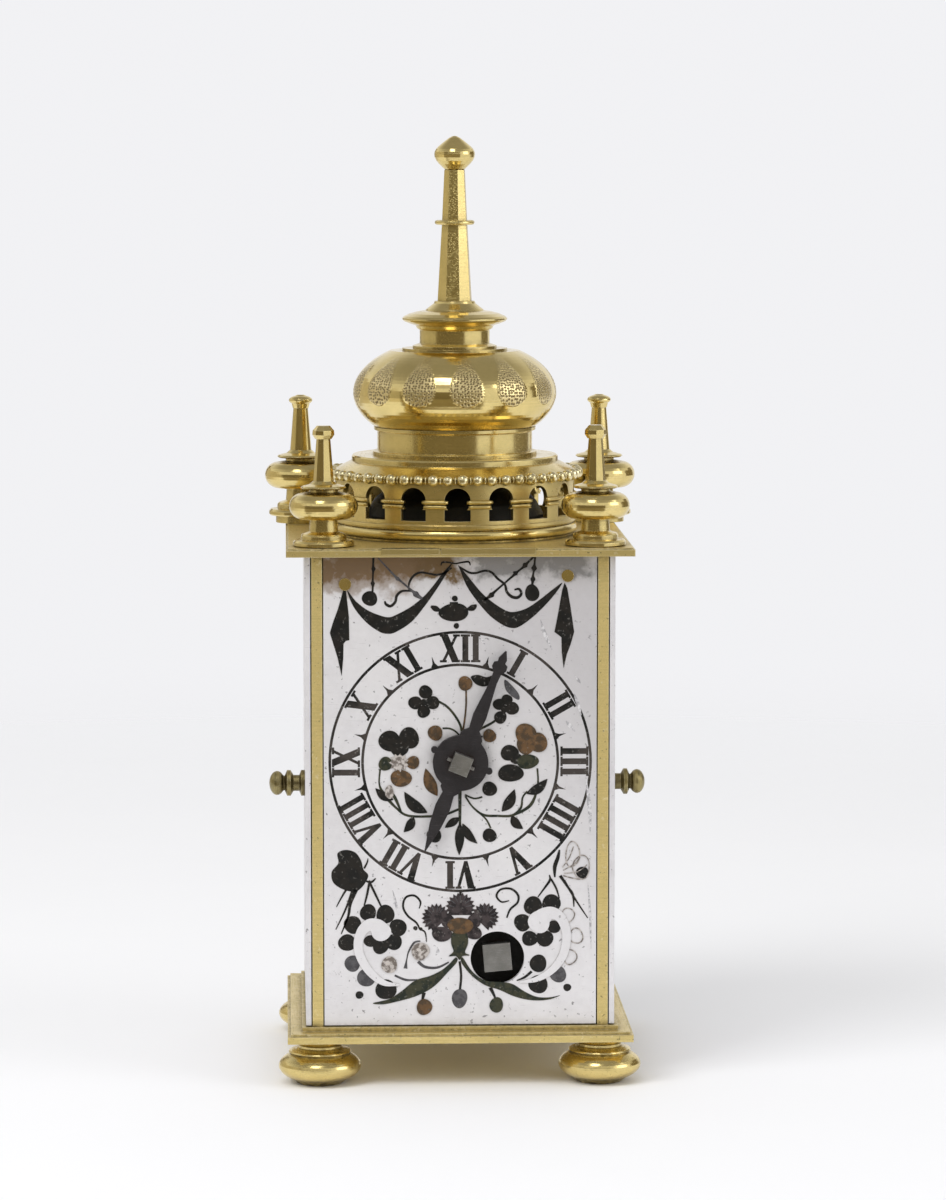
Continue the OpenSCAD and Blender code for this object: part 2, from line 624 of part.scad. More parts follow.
module spire() color(brass) difference() {
    rotate([0, 0, spire_turn]) union() {
        translate([0, 0, spire_z])
            cylinder(h = spire_h * spire_ring, r1 = spire_w / 2, r2 = spire_w * 0.37, $fn = 8);
        translate([0, 0, spire_z + spire_h * spire_ring])
            cylinder(h = spire_h * (1 - spire_ring), r1 = spire_w * 0.37, r2 = spire_w * 0.3, $fn = 8);
        turned(concat([[0, spire_z + spire_h * spire_ring - 0.3]],
            [for (p = curve(0.3, 0.3, spire_z + spire_h * spire_ring, -90, 90, 8))
                p + [spire_w * 0.56 - 0.3, 0]],
            [[0, spire_z + spire_h * spire_ring + 0.3]]));
    }
    translate([0, 0, spire_z - 1]) cylinder(h = tie_in + 1.2, r = tie_r + run);
    translate([0, 0, tip_z - 2]) cylinder(h = 3, r = knob_pin_r);
}
knob_pin_r = 0.5;
module spire_knob() color(brass) {
    translate([0, 0, tip_z - 2 + skin]) cylinder(h = 2, r = knob_pin_r);
    turned([for (p = knob_line) [knob_r * p[0], tip_z + knob_h * p[1]]]);
}
knob_line = [[0, 0], [0.46, 0], [0.6, 0.08], [0.76, 0.17], [0.9, 0.27], [0.98, 0.37], [1, 0.46], [0.98, 0.54],
    [0.91, 0.62], [0.78, 0.7], [0.62, 0.78], [0.45, 0.86], [0.27, 0.94], [0.12, 0.985], [0, 1]];
module bell() color(steel) difference() {
    turned(concat([[0, bell_z + 0.1], [bell_r, bell_z + 0.1], [bell_r, bell_z + 0.6]],
        curve(bell_r - 0.5, bell_h - 1, bell_z + 1, 8, 84, 10), [[1.8, lid_z], [0, lid_z]]));
    turned(concat([[0, bell_z - 1], [bell_r - bell_t, bell_z - 1], [bell_r - bell_t, bell_z + 0.6]],
        curve(bell_r - 0.5 - bell_t, bell_h - 1 - bell_t, bell_z + 1, 8, 84, 10),
        [[0, lid_z - 0.05 - bell_t]]));
    translate([0, 0, bell_z - 1]) cylinder(h = bell_h + 2, r = tie_r + run);
}
nut_z = lid_z - 0.05 - bell_t - nut_t;
module tie_rod() color(steel) translate([0, 0, nut_z - 0.3])
    cylinder(h = spire_z + tie_in - nut_z + 0.3, r = tie_r);
module tie_nut() color(steel) translate([0, 0, nut_z]) difference() {
    cylinder(h = nut_t, r = tie_r * 2.1, $fn = 6);
    translate([0, 0, -1]) cylinder(h = nut_t + 2, r = tie_r);
}

// Hand and motion work
hub_r = 1.85;
hand_y = front_y - 1.5;
hand_t = 0.55;
boss_t = 1.0;
arbor_end = front_y - 3.1;
hand_pin_y = hand_y - 0.45;
hand_pin_r = 0.25;
// Places along the hand from its centre, each with half the hand's width there
pointer = [[0, 1.6], [0.24, 1.5], [0.275, 1.15], [0.3, 0.72], [0.42, 0.9], [0.56, 0.7], [0.72, 0.46],
    [0.8, 0.52], [0.845, 0.98], [0.885, 0.92], [0.9, 0.5], [0.93, 0.56], [1, 0.08]];
tail = [[0, 1.5], [0.3, 1.3], [0.35, 0.78], [0.5, 1], [0.7, 0.8], [0.86, 0.42], [1, 0.06]];
module blade(places, l) polygon(concat([for (p = places) [p[1], p[0] * l]],
    [for (p = reversed(places)) [-p[1], p[0] * l]]));
module hand_shape() rotate(-hand_turn) {
    blade(pointer, hand_l);
    blade(tail, -tail_l);
    for (x = [-1, 1]) translate([x * (boss_r + 0.2), 0.4]) circle(r = 0.45, $fn = 24);
}
module hour_hand() color(steel) difference() {
    union() {
        flat(hand_y, hand_t) translate(hour_p) hand_shape();
        shaft(hour_p, hand_y, hand_y + boss_t, boss_r);
    }
    flat(hand_y - 1, boss_t + 2) translate(hour_p) rotate(-hand_turn) square(hand_sq, center = true);
}
module hand_pin_at(r, l) translate([hour_p[0], hand_pin_y, hour_p[1]]) rotate([0, 90 + hand_turn, 0])
    translate([0, 0, -l / 2]) cylinder(h = l, r = r);
module hand_pin() color(steel) hand_pin_at(hand_pin_r, hand_sq + 1.2);
module hour_arbor() color(steel) difference() {
    union() {
        flat(arbor_end, hand_y + boss_t - arbor_end) translate(hour_p) rotate(-hand_turn)
            square(hand_sq, center = true);
        shaft(hour_p, hand_y + boss_t, hour_y - 0.1, hub_r);
        shaft(hour_p, hour_y - 0.1, potence_y - skin, hour_r);
        shaft(hour_p, potence_y - skin, potence_y + potence_t, arbor_r);
        shaft(hour_p, lift_y, lift_y + 0.6, lift_r + 0.5);
        for (i = [0:11]) shaft(hour_p + polar(lift_r, hammer_angle + 15 + 30 * i),
            lift_y + 0.6, lift_y + 1.8, lift_pin_r);
    }
    hand_pin_at(hand_pin_r, 6);
}
mesh_idler = atan2(hour_p[1] - idler_p[1], hour_p[0] - idler_p[0]);
mesh_second = atan2(idler_p[1] - second_p[1], idler_p[0] - second_p[0]);
module hour_wheel() color(brass)
    wheel(hour_p, hour_y, wheel_t, hour_n, hour_m, mesh_idler + 180, hour_r);
idler_post_r = 0.6;
module idler_wheel() color(brass) difference() {
    union() {
        wheel(idler_p, motion_y, wheel_t, idler_n, motion_m, mesh_second + 180, idler_post_r + run);
        pinion(idler_p, hour_y, motion_y - hour_y, motion_pinion_n, hour_m, mesh_idler);
    }
    shaft(idler_p, hour_y - 1, motion_y + 2, idler_post_r + run);
}

// Winding
square_end = front_y + 0.3;
module winding_arbor() color(steel) {
    flat(square_end, hour_y - 0.3 - square_end) translate(wind_p) rotate(5) square(wind_sq, center = true);
    shaft(wind_p, hour_y - 0.3, great_y, wind_r);
    shaft(wind_p, great_y, bar_rear - skin, wind_back_r);
    shaft(wind_p, bar_rear - skin, bar_rear + bar_t, 1);
}
click_tip = wind_p + polar(ratchet_r + skin, click_angle + click_reach);
module ratchet_wheel() color(steel) flat(motion_y, wheel_t) translate(wind_p) difference() {
    polygon([for (i = [0:ratchet_n - 1]) for (k = [[-0.06, ratchet_depth], [0, 0]])
        polar(ratchet_r - k[1], (i + k[0]) * 360 / ratchet_n + click_angle + click_reach + 2.5)]);
    circle(r = wind_r);
}
click_pivot_r = 0.6;
click_tail = 1.5;
module click() color(steel) flat(motion_y, wheel_t) difference() {
    n = [click_p[1] - click_tip[1], click_tip[0] - click_p[0]] / norm(click_tip - click_p);
    union() {
        translate(click_p) circle(r = 1.15);
        polygon([click_p + n * 0.4, click_p - n * 0.9, click_tip - n * 0.55, click_tip]);
        translate(click_p) polygon([[-0.3, 1], [-1.9, click_tail], [-2.1, 0.9], [-0.9, -0.2]]);
    }
    translate(click_p) circle(r = click_pivot_r + run);
}
click_post_x = -9.6;
click_post_w = 1.8;
click_leaf_z = click_p[1] + click_tail + 0.5;
module click_spring() color(steel) {
    translate([click_post_x, motion_y, click_leaf_z - 1.4]) cube([click_post_w, bar_front - motion_y, 1.8]);
    translate([click_post_x + click_post_w - eps, motion_y, click_leaf_z])
        cube([click_p[0] - 0.8 - click_post_x - click_post_w, wheel_t, 0.25]);
}

// Barrel and train
module barrel() color(brass) difference() {
    shaft(wind_p, barrel_y, great_y, barrel_r);
    shaft(wind_p, barrel_y + 0.8, great_y + 1, barrel_r - 0.6);
    shaft(wind_p, barrel_y - 1, great_y, wind_r + run);
}
spring_turns = 9;
spring_steps = 20;
spring_t = 0.18;
spring_out = barrel_r - 0.6 - skin;
spring_in = wind_r + 0.5;
function spiral(off, n) = [for (i = [0:n]) let (s = i / n)
    polar(spring_out - off - (spring_out - spring_in) * s, 360 * spring_turns * s)];
module mainspring() color(steel) difference() {
    flat(barrel_y + 0.8 + skin, barrel_l - 0.8 - 2 * skin) translate(wind_p)
        polygon(concat(spiral(0, spring_turns * spring_steps),
            reversed(spiral(spring_t, spring_turns * spring_steps))));
}
module great_wheel() color(brass) flat(great_y, wheel_t) translate(wind_p) difference() {
    teeth(great_n, gear_m, 90);
    circle(r = wind_back_r + run);
}
// A train arbor with pivots that run in the two bars
module train_arbor(p, y0, y1) {
    shaft(p, y0 + skin, y1 - skin, arbor_r);
    shaft(p, y0 - bar_t, y1 + bar_t, pivot_r);
}
module second_arbor() color(brass) {
    shaft(second_p, inner_y + skin, bar_rear - skin, arbor_r + 0.1);
    shaft(second_p, bar_rear - skin, bar_rear + bar_t, pivot_r);
    shaft(second_p, motion_y, inner_y + skin, arbor_r + 0.1);
    pinion(second_p, great_y - 0.4, pinion_l, second_pinion_n, gear_m, 270);
    crossed_wheel(second_p, second_y, wheel_t, second_n, gear_m, third_angle, arbor_r);
    pinion(second_p, motion_y, wheel_t, motion_pinion_n, motion_m, mesh_second);
}
module third_arbor() color(brass) {
    train_arbor(third_p, inner_y, bar_rear);
    pinion(third_p, second_y - 0.6, pinion_l, pinion_n, gear_m, third_angle + 180, 0.01);
    crossed_wheel(third_p, third_y, wheel_t, third_n, gear_m, fourth_angle, arbor_r);
}
mesh_crown = atan2(crown_p[1] - fourth_p[1], crown_p[0] - fourth_p[0]);
module fourth_arbor() color(brass) {
    train_arbor(fourth_p, inner_y, bar_rear);
    pinion(fourth_p, third_y - 0.6, pinion_l, pinion_n, gear_m, fourth_angle + 180);
    crossed_wheel(fourth_p, fourth_y, wheel_t, fourth_n, gear_m, mesh_crown, arbor_r);
}
crown_pivot_y = crown_tip_y + 0.6;
module crown_wheel() color(brass) {
    shaft(crown_p, crown_pivot_y, crown_web_y + eps, pivot_r);
    shaft(crown_p, crown_web_y, bar_rear - skin, arbor_r);
    shaft(crown_p, bar_rear - skin, bar_rear + bar_t, pivot_r);
    shaft(crown_p, crown_web_y, crown_web_y + 0.5, crown_r);
    pinion(crown_p, fourth_y - 0.6, pinion_l, pinion_n, gear_m, mesh_crown + 180);
    difference() {
        shaft(crown_p, crown_tip_y, crown_web_y + eps, crown_r);
        shaft(crown_p, crown_tip_y - 1, crown_web_y + 1, crown_r - 0.6);
        for (i = [0:crown_n - 1]) translate([crown_p[0], 0, crown_p[1]]) rotate([0, i * 360 / crown_n, 0])
            translate([0, crown_tip_y - skin, crown_r - 1.2]) linear_extrude(2)
                polygon([[-0.7, 0], [0.55, 0], [0.4, 1.4], [0.1, 1.4]]);
    }
}
foot_z = verge_low - 1;
potence_top = crown_p[1] + crown_r + 0.3;
leg_t = 1.2;
module potence() color(brass) difference() {
    union() {
        translate([-potence_x, potence_y, foot_z])
            cube([2 * potence_x, potence_t, potence_top - foot_z]);
        for (z = [foot_z, potence_top - leg_t]) translate([-potence_x, inner_y, z])
            cube([2 * potence_x, potence_y - inner_y + eps, leg_t]);
        translate([-1, potence_y, foot_z]) cube([2, 1 - potence_y, 1]);
        translate([verge_r + 0.4, potence_y, crown_p[1] - 1])
            cube([0.9, crown_pivot_y + 1 - potence_y, 2]);
        translate([-1.1, crown_pivot_y, crown_p[1] - 1]) cube([2, 1, 2]);
    }
    shaft(hour_p, potence_y - 1, potence_y + potence_t + 0.5, arbor_r + run);
    shaft(crown_p, crown_pivot_y - 1, crown_pivot_y + 2, pivot_r + run);
    translate([0, 0, foot_z - 1]) cylinder(h = 3, r = pivot_r + run);
}

// Verge, balance and hammer
cock_x = balance_r + 1.5;
rim_w = 0.8;
module verge() color(steel) {
    translate([0, 0, foot_z]) cylinder(h = cock_z + cock_t - foot_z, r = pivot_r);
    translate([0, 0, verge_low + skin]) cylinder(h = cock_z - verge_low - 2 * skin, r = verge_r);
    for (s = [-1, 1]) translate([0, 0, crown_p[1] + s * (crown_r - 0.3) - 0.5]) rotate([0, 0, 90 + s * 50])
        translate([0, -0.15, 0]) cube([pallet_r, 0.3, 1]);
    translate([0, 0, balance_z]) difference() {
        cylinder(h = balance_t, r = balance_r);
        translate([0, 0, -1]) difference() {
            cylinder(h = balance_t + 2, r = balance_r - rim_w);
            cylinder(h = balance_t + 2, r = 1.2);
            translate([-balance_r, -0.5, 0]) cube([2 * balance_r, 1, balance_t + 2]);
        }
    }
}
module balance_cock() color(brass) difference() {
    union() {
        translate([-cock_x - 0.5, -1, cock_z]) cube([2 * cock_x + 1, 2, cock_t]);
        for (s = [-1, 1]) translate([s * cock_x - 0.5, -1, deck_z]) cube([1, 2, cock_z - deck_z + eps]);
        for (s = [-1, 1]) translate([s * cock_x, 0, deck_z - 0.7]) cylinder(h = 1, r = screw_r);
    }
    translate([0, 0, cock_z - 1]) cylinder(h = 3, r = pivot_r + run);
}
module hammer() color(steel) {
    top = [hammer_x, hammer_top];
    train_arbor(hammer_p, inner_y, bar_rear);
    shaft(hammer_p, -0.7, 0.7, 1.1);
    // stem: a slender tapered bar up to the head
    flat(-0.4, 0.8) polygon([hammer_p + [-0.5, 0], hammer_p + [0.5, 0], top + [0.3, 0], top + [-0.3, 0]]);
    translate([hammer_x - 0.8, 0, hammer_top]) rotate([0, 90, 0]) cylinder(h = 1.6, r = hammer_r);
    // tail: reaches between the lifting pins
    shaft(hammer_p, lift_y + 0.9, lift_y + 1.6, 1);
    tip = hour_p + polar(lift_r + lift_pin_r + 1.5 * skin, hammer_angle);
    u = (tip - hammer_p) / norm(tip - hammer_p);
    side = [-u[1], u[0]];
    flat(lift_y + 0.9, 0.7)
        polygon([hammer_p + side * 0.6, hammer_p - side * 0.6, tip - side * 0.2, tip + side * 0.2]);
}
function stem_x(z) = hammer_p[0] + (hammer_x - hammer_p[0]) * (z - hammer_p[1]) / (hammer_top - hammer_p[1]);
stop_up = 9;
stop_z = hammer_p[1] + stop_up;
stop_x = -4.4;
stop_gap = 0.6; // from the stem's middle to the stop
module hammer_stop() color(steel) {
    shaft([stop_x, stop_z], inner_y, 0.5, 0.6);
    translate([stem_x(stop_z) + stop_gap, -0.3, stop_z - 0.2])
        cube([stop_x - stem_x(stop_z) - stop_gap, 0.6, 0.4]);
}
leaf_h = 8.8;
leaf_t = 0.3;
// The leaf leans beside the stem, just clear of it when the hammer is fully lifted
function leaf_x(z) = stem_x(z) - 0.5 - skin - (z - hammer_p[1]) * tan(hammer_swing);
module hammer_spring() color(steel) {
    low = top_z - leaf_h;
    flat(-0.4, 0.8) polygon([[leaf_x(low), low], [leaf_x(top_z), top_z],
        [leaf_x(top_z) - leaf_t, top_z], [leaf_x(low) - leaf_t, low]]);
    translate([leaf_x(top_z) - 1.9, -0.6, top_z - 0.5]) cube([1.8, 1.2, 0.5]);
}

// Bars and pillars
pillar_at = [[-13.2, 3.6], [13.2, 3.6], [-13.2, 37], [13.2, 37]];
module bar_outline() {
    translate([-bar_w / 2, case_z]) square([bar_w, bar_low_h]);
    translate([-bar_neck_w / 2, case_z]) square([bar_neck_w, case_h]);
    translate([-tenon_w / 2, case_z - tenon_h]) square([tenon_w, case_h + 2 * tenon_h]);
}
module bar_blank(y) difference() {
    flat(y, bar_t) bar_outline();
    for (p = pillar_at) shaft([p[0], case_z + p[1]], y - 1, y + 3, 0.6);
}
module front_bar() color(brass) difference() {
    union() {
        bar_blank(bar_front);
        shaft(idler_p, hour_y - 0.2, bar_front + eps, idler_post_r);
        shaft(idler_p, motion_y + wheel_t + skin, bar_front + eps, 1);
        shaft(click_p, motion_y - 0.1, bar_front + eps, click_pivot_r);
    }
    shaft(wind_p, bar_front - 1, inner_y + 1, wind_r + run);
    shaft(second_p, bar_front - 1, inner_y + 1, arbor_r + 0.1 + run);
    shaft(hour_p, bar_front - 1, inner_y + 1, hour_r + run);
    for (p = [third_p, fourth_p, hammer_p]) shaft(p, bar_front - 1, inner_y + 1, pivot_r + run);
}
module back_bar() color(brass) difference() {
    bar_blank(bar_rear);
    shaft(wind_p, bar_rear - 1, bar_rear + 3, 1 + run);
    for (p = [second_p, third_p, fourth_p, crown_p, hammer_p])
        shaft(p, bar_rear - 1, bar_rear + 3, pivot_r + run);
}
module pillars() color(brass) for (p = pillar_at)
    translate([p[0], bar_rear, case_z + p[1]]) rotate([90, 0, 0]) {
    l = bar_rear - inner_y;
    turned([[0, 0], [1, 0], [1, l * 0.06], [0.7, l * 0.1], [0.7, l * 0.3], [1.1, l * 0.5], [0.7, l * 0.7],
        [0.7, l * 0.9], [1, l * 0.94], [1, l], [0, l]]);
    translate([0, 0, -bar_t]) cylinder(h = l + 2 * bar_t, r = 0.6);
}

foot(-1, -1);  // foot_front_left
foot(1, -1);  // foot_front_right
foot(-1, 1);  // foot_back_left
foot(1, 1);  // foot_back_right
base_plate();
post(-1, -1);  // post_front_left
post(1, -1);  // post_front_right
post(-1, 1);  // post_back_left
post(1, 1);  // post_back_right
dial_plate();
dial_enamel();
dial_rivets();
dial_bracket();
screws();
back_plate();
door(-1);  // door_left
door(1);  // door_right
side_knob(-1);  // side_knob_left
side_knob(1);  // side_knob_right
top_plate();
finial(-finial_front_x, -finial_y, top_t + 2.5, 8, finial_r, finial_h, 0);  // finial_front_left
finial(finial_front_x, -finial_y, top_t + 2.5, 8, finial_r, finial_h, 0);  // finial_front_right
finial(-finial_back_x, finial_y, 0.8, 32, finial_back_r, finial_back_h, finial_plinth);  // finial_back_left
finial(finial_back_x, finial_y, 0.8, 32, finial_back_r, finial_back_h, finial_plinth);  // finial_back_right
gallery_ring();
gallery();
lid();
drum();
dome();
neck();
spire();
spire_knob();
bell();
tie_rod();
tie_nut();
hour_hand();
hand_pin();
hour_arbor();
hour_wheel();
idler_wheel();
winding_arbor();
ratchet_wheel();
click();
click_spring();
barrel();
mainspring();
great_wheel();
second_arbor();
third_arbor();
fourth_arbor();
crown_wheel();
potence();
verge();
balance_cock();
hammer();
hammer_stop();
hammer_spring();
front_bar();
back_bar();
pillars();
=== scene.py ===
"""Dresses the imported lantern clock: enamel ornament, beads, bands, metal finishes, light and camera.

Lengths named in the settings are metres. Lists of places on the dial plate are in millimetres,
x to the right and z up from the dial's centre.
"""
import math

import bmesh
import bpy
from bpy.props import FloatProperty, FloatVectorProperty, IntProperty, PointerProperty
from mathutils import Matrix, Vector


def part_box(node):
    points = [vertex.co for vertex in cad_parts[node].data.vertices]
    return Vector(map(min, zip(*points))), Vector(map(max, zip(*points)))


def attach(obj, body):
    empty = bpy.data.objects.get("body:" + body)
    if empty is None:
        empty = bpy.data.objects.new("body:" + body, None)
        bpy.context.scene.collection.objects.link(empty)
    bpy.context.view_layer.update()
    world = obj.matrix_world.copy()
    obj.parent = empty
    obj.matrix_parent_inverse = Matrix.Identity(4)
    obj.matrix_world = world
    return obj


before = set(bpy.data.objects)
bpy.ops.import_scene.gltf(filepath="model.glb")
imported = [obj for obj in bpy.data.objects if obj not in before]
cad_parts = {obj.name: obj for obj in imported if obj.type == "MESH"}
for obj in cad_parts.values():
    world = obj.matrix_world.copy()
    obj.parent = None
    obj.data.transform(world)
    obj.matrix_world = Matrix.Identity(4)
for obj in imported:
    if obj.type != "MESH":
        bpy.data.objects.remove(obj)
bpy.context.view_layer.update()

bl_info = {
    "name": "Lantern Clock Dressing",
    "version": (1, 0, 0),
    "blender": (4, 5, 0),
    "location": "View3D > Sidebar > Clock",
    "description": "Ornament, metal finishes and studio for a small lantern clock",
    "category": "Object",
}

MM = 0.001
PLATE_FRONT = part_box("dial_plate")[0].y
DIAL_CENTRE = (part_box("dial_enamel")[0].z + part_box("dial_enamel")[1].z) / 2
LID_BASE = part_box("gallery")[1].z
GALLERY_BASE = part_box("gallery")[0].z
GALLERY_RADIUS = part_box("lid")[1].x - 0.3 * MM
TOP_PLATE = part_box("top_plate")


class ClockOrnamentSettings(bpy.types.PropertyGroup):
    """Sizes of the ornament that is added to the case."""
    enamel_proud: FloatProperty(
        name="Enamel height", description="How far the enamel stands above the silver",
        default=0.03 * MM, unit="LENGTH")
    stem_width: FloatProperty(
        name="Stem width", description="Width of a flower's stem on the dial",
        default=0.3 * MM, unit="LENGTH")
    bead_radius: FloatProperty(
        name="Bead radius", description="Radius of a bead on the lid's rim",
        default=0.74 * MM, unit="LENGTH")
    bead_count: IntProperty(
        name="Beads", description="Number of beads round the lid", default=53)
    capital_count: IntProperty(
        name="Capitals", description="Number of columns in the gallery", default=17)
    capital_turn: FloatProperty(
        name="Capital turn", description="Angle of the gallery's front arch, in degrees", default=-0.7)
    capital_radius: FloatProperty(
        name="Capital bead", description="Half the thickness of a bead on a column",
        default=0.34 * MM, unit="LENGTH")
    strip_height: FloatProperty(
        name="Strip height", description="Height of the bright strip on the top plate's edge",
        default=0.82 * MM, unit="LENGTH")


class ClockFinishSettings(bpy.types.PropertyGroup):
    """Colours and wear of the clock's metals and enamels."""
    gilt: FloatVectorProperty(
        name="Gilt brass", description="Colour of the gilded brass", subtype="COLOR",
        default=(0.83, 0.66, 0.28), min=0, max=1)
    gilt_deep: FloatVectorProperty(
        name="Thin gilding", description="Colour where the gilding is thin", subtype="COLOR",
        default=(0.56, 0.45, 0.17), min=0, max=1)
    # Also a painted highlight: the worn-edge mask lays this pale brass along sharp edges, partly as rubbed
    # gilding and partly as the light an edge catches; it also colours the beads and small rubs.
    gilt_pale: FloatVectorProperty(
        name="Rubbed brass", description="Colour of rubbed edges", subtype="COLOR",
        default=(0.94, 0.84, 0.54), min=0, max=1)
    # Painted shade as well as dirt: this dark brown fills corners and joints that ambient occlusion finds,
    # and also colours small pits.
    grime_and_shade: FloatVectorProperty(
        name="Grime", description="Colour of the dirt in corners", subtype="COLOR",
        default=(0.085, 0.062, 0.028), min=0, max=1)
    silver: FloatVectorProperty(
        name="Silver", description="Colour of the silvered plates", subtype="COLOR",
        default=(0.82, 0.805, 0.82), min=0, max=1)
    silver_dull: FloatVectorProperty(
        name="Dull silver", description="Colour of tarnished silver", subtype="COLOR",
        default=(0.46, 0.44, 0.455), min=0, max=1)
    stain: FloatVectorProperty(
        name="Stain", description="Colour of the brown stain by the top edge", subtype="COLOR",
        default=(0.150, 0.084, 0.020), min=0, max=1)
    enamel: FloatVectorProperty(
        name="Dark enamel", description="Colour of the dark enamel", subtype="COLOR",
        default=(0.007, 0.007, 0.0065), min=0, max=1)
    amber: FloatVectorProperty(
        name="Amber enamel", description="Colour of the amber enamel", subtype="COLOR",
        default=(0.115, 0.062, 0.026), min=0, max=1)
    iron: FloatVectorProperty(
        name="Iron", description="Colour of the dark iron hand", subtype="COLOR",
        default=(0.038, 0.034, 0.036), min=0, max=1)
    steel: FloatVectorProperty(
        name="Steel", description="Colour of bright worn steel", subtype="COLOR",
        default=(0.31, 0.305, 0.29), min=0, max=1)


class ClockStudioSettings(bpy.types.PropertyGroup):
    """Light, floor and camera."""
    backdrop: FloatVectorProperty(
        name="Backdrop", description="Colour behind the clock", subtype="COLOR",
        default=(0.885, 0.885, 0.905), min=0, max=1)
    key_power: FloatProperty(
        name="Key light", description="Power of the main soft light", default=4.8, unit="POWER")
    fill_power: FloatProperty(
        name="Fill light", description="Power of the soft light from the right",
        default=1.6, unit="POWER")
    ambient: FloatProperty(
        name="Room light", description="Strength of the even light from the room", default=0.68)
    lens: FloatProperty(
        name="Lens", description="Focal length in millimetres", default=144.3)


def settings():
    """The three groups of settings, stored on the scene."""
    scene = bpy.context.scene
    return scene.clock_ornament, scene.clock_finish, scene.clock_studio


def node(tree, kind, place, **values):
    """Adds a node; plain values set its properties, 'in_0' style ones its input sockets."""
    made = tree.nodes.new("ShaderNode" + kind)
    made.location = (place[0] * 190, -place[1] * 170)
    for key, value in values.items():
        if key.startswith("in_"):
            made.inputs[int(key[3:])].default_value = value
        else:
            setattr(made, key, value)
    return made


def wire(tree, start, out, end, into):
    """Links output `out` of one node to input `into` of another."""
    tree.links.new(start.outputs[out], end.inputs[into])


def math_node(tree, place, operation, first, second=None, clamp=False):
    """A Math node whose inputs are (node, output) pairs or numbers."""
    made = node(tree, "Math", place, operation=operation, use_clamp=clamp)
    for index, source in enumerate((first, second)):
        if isinstance(source, tuple):
            wire(tree, source[0], source[1], made, index)
        elif source is not None:
            made.inputs[index].default_value = source
    return made


def group_tree(name, inputs, outputs):
    """An empty shader node group with its input and output nodes."""
    tree = bpy.data.node_groups.new(name, "ShaderNodeTree")
    for label, value in inputs:
        socket = tree.interface.new_socket(label, in_out="INPUT", socket_type="NodeSocketFloat")
        socket.default_value = value
    for label in outputs:
        tree.interface.new_socket(label, in_out="OUTPUT", socket_type="NodeSocketFloat")
    entry = tree.nodes.new("NodeGroupInput")
    entry.location = (-900, 0)
    leave = tree.nodes.new("NodeGroupOutput")
    leave.location = (1500, 0)
    return tree, entry, leave


def place_in_mm(tree, place):
    """Object coordinates scaled to millimetres."""
    where = node(tree, "TexCoord", place)
    scaled = node(tree, "VectorMath", (place[0] + 1, place[1]), operation="SCALE")
    wire(tree, where, "Object", scaled, 0)
    scaled.inputs["Scale"].default_value = 1000
    return scaled


def place_by_size(tree, place, entry, size):
    """Object coordinates in millimetres, divided by the group's input of that name."""
    coords = place_in_mm(tree, place)
    shrink = node(tree, "VectorMath", (place[0] + 2, place[1]), operation="DIVIDE")
    wire(tree, coords, 0, shrink, 0)
    wire(tree, entry, size, shrink, 1)
    return shrink


def build_cloudy_tone():
    """Soft patches of tone; Size is in millimetres."""
    tree, entry, leave = group_tree(
        "Cloudy Tone", [("Size", 3.0), ("Contrast", 0.2)], ["Mask"])
    shrink = place_by_size(tree, (-4, 1), entry, "Size")
    clouds = node(tree, "TexNoise", (-1, 1), in_3=4.0, in_4=0.6)
    wire(tree, shrink, 0, clouds, "Vector")
    clouds.inputs["Scale"].default_value = 1.0
    low = math_node(tree, (0, 2), "SUBTRACT", 0.5, (entry, "Contrast"))
    high = math_node(tree, (0, 3), "ADD", 0.5, (entry, "Contrast"))
    spread = node(tree, "MapRange", (1, 1), interpolation_type="SMOOTHSTEP")
    wire(tree, clouds, 0, spread, "Value")
    wire(tree, low, 0, spread, "From Min")
    wire(tree, high, 0, spread, "From Max")
    wire(tree, spread, 0, leave, "Mask")
    return tree


def build_worn_edges_and_highlights():
    """White along convex and concave edges, for rubbed metal and a painted edge highlight; Radius is in
    metres.
    """
    tree, entry, leave = group_tree(
        "Worn Edges And Highlights", [("Radius", 0.00015), ("Strength", 1.0)], ["Mask"])
    round_edge = node(tree, "Bevel", (-3, 0), samples=4)
    wire(tree, entry, "Radius", round_edge, "Radius")
    plain = node(tree, "NewGeometry", (-3, 2))
    compare = node(tree, "VectorMath", (-2, 0), operation="DOT_PRODUCT")
    wire(tree, round_edge, 0, compare, 0)
    wire(tree, plain, "Normal", compare, 1)
    turned = math_node(tree, (-1, 0), "SUBTRACT", 1.0, (compare, "Value"))
    gain = math_node(tree, (0, 0), "MULTIPLY", (turned, 0), 9.0)
    coords = place_in_mm(tree, (-4, 4))
    patches = node(tree, "TexNoise", (-1, 3), in_2=0.9, in_3=3.0)
    wire(tree, coords, 0, patches, "Vector")
    uneven = node(tree, "MapRange", (0, 3), in_1=0.35, in_2=0.6)
    wire(tree, patches, 0, uneven, "Value")
    partly = math_node(tree, (1, 0), "MULTIPLY", (gain, 0), (uneven, 0))
    strong = math_node(tree, (2, 0), "MULTIPLY", (partly, 0), (entry, "Strength"), clamp=True)
    wire(tree, strong, 0, leave, "Mask")
    return tree


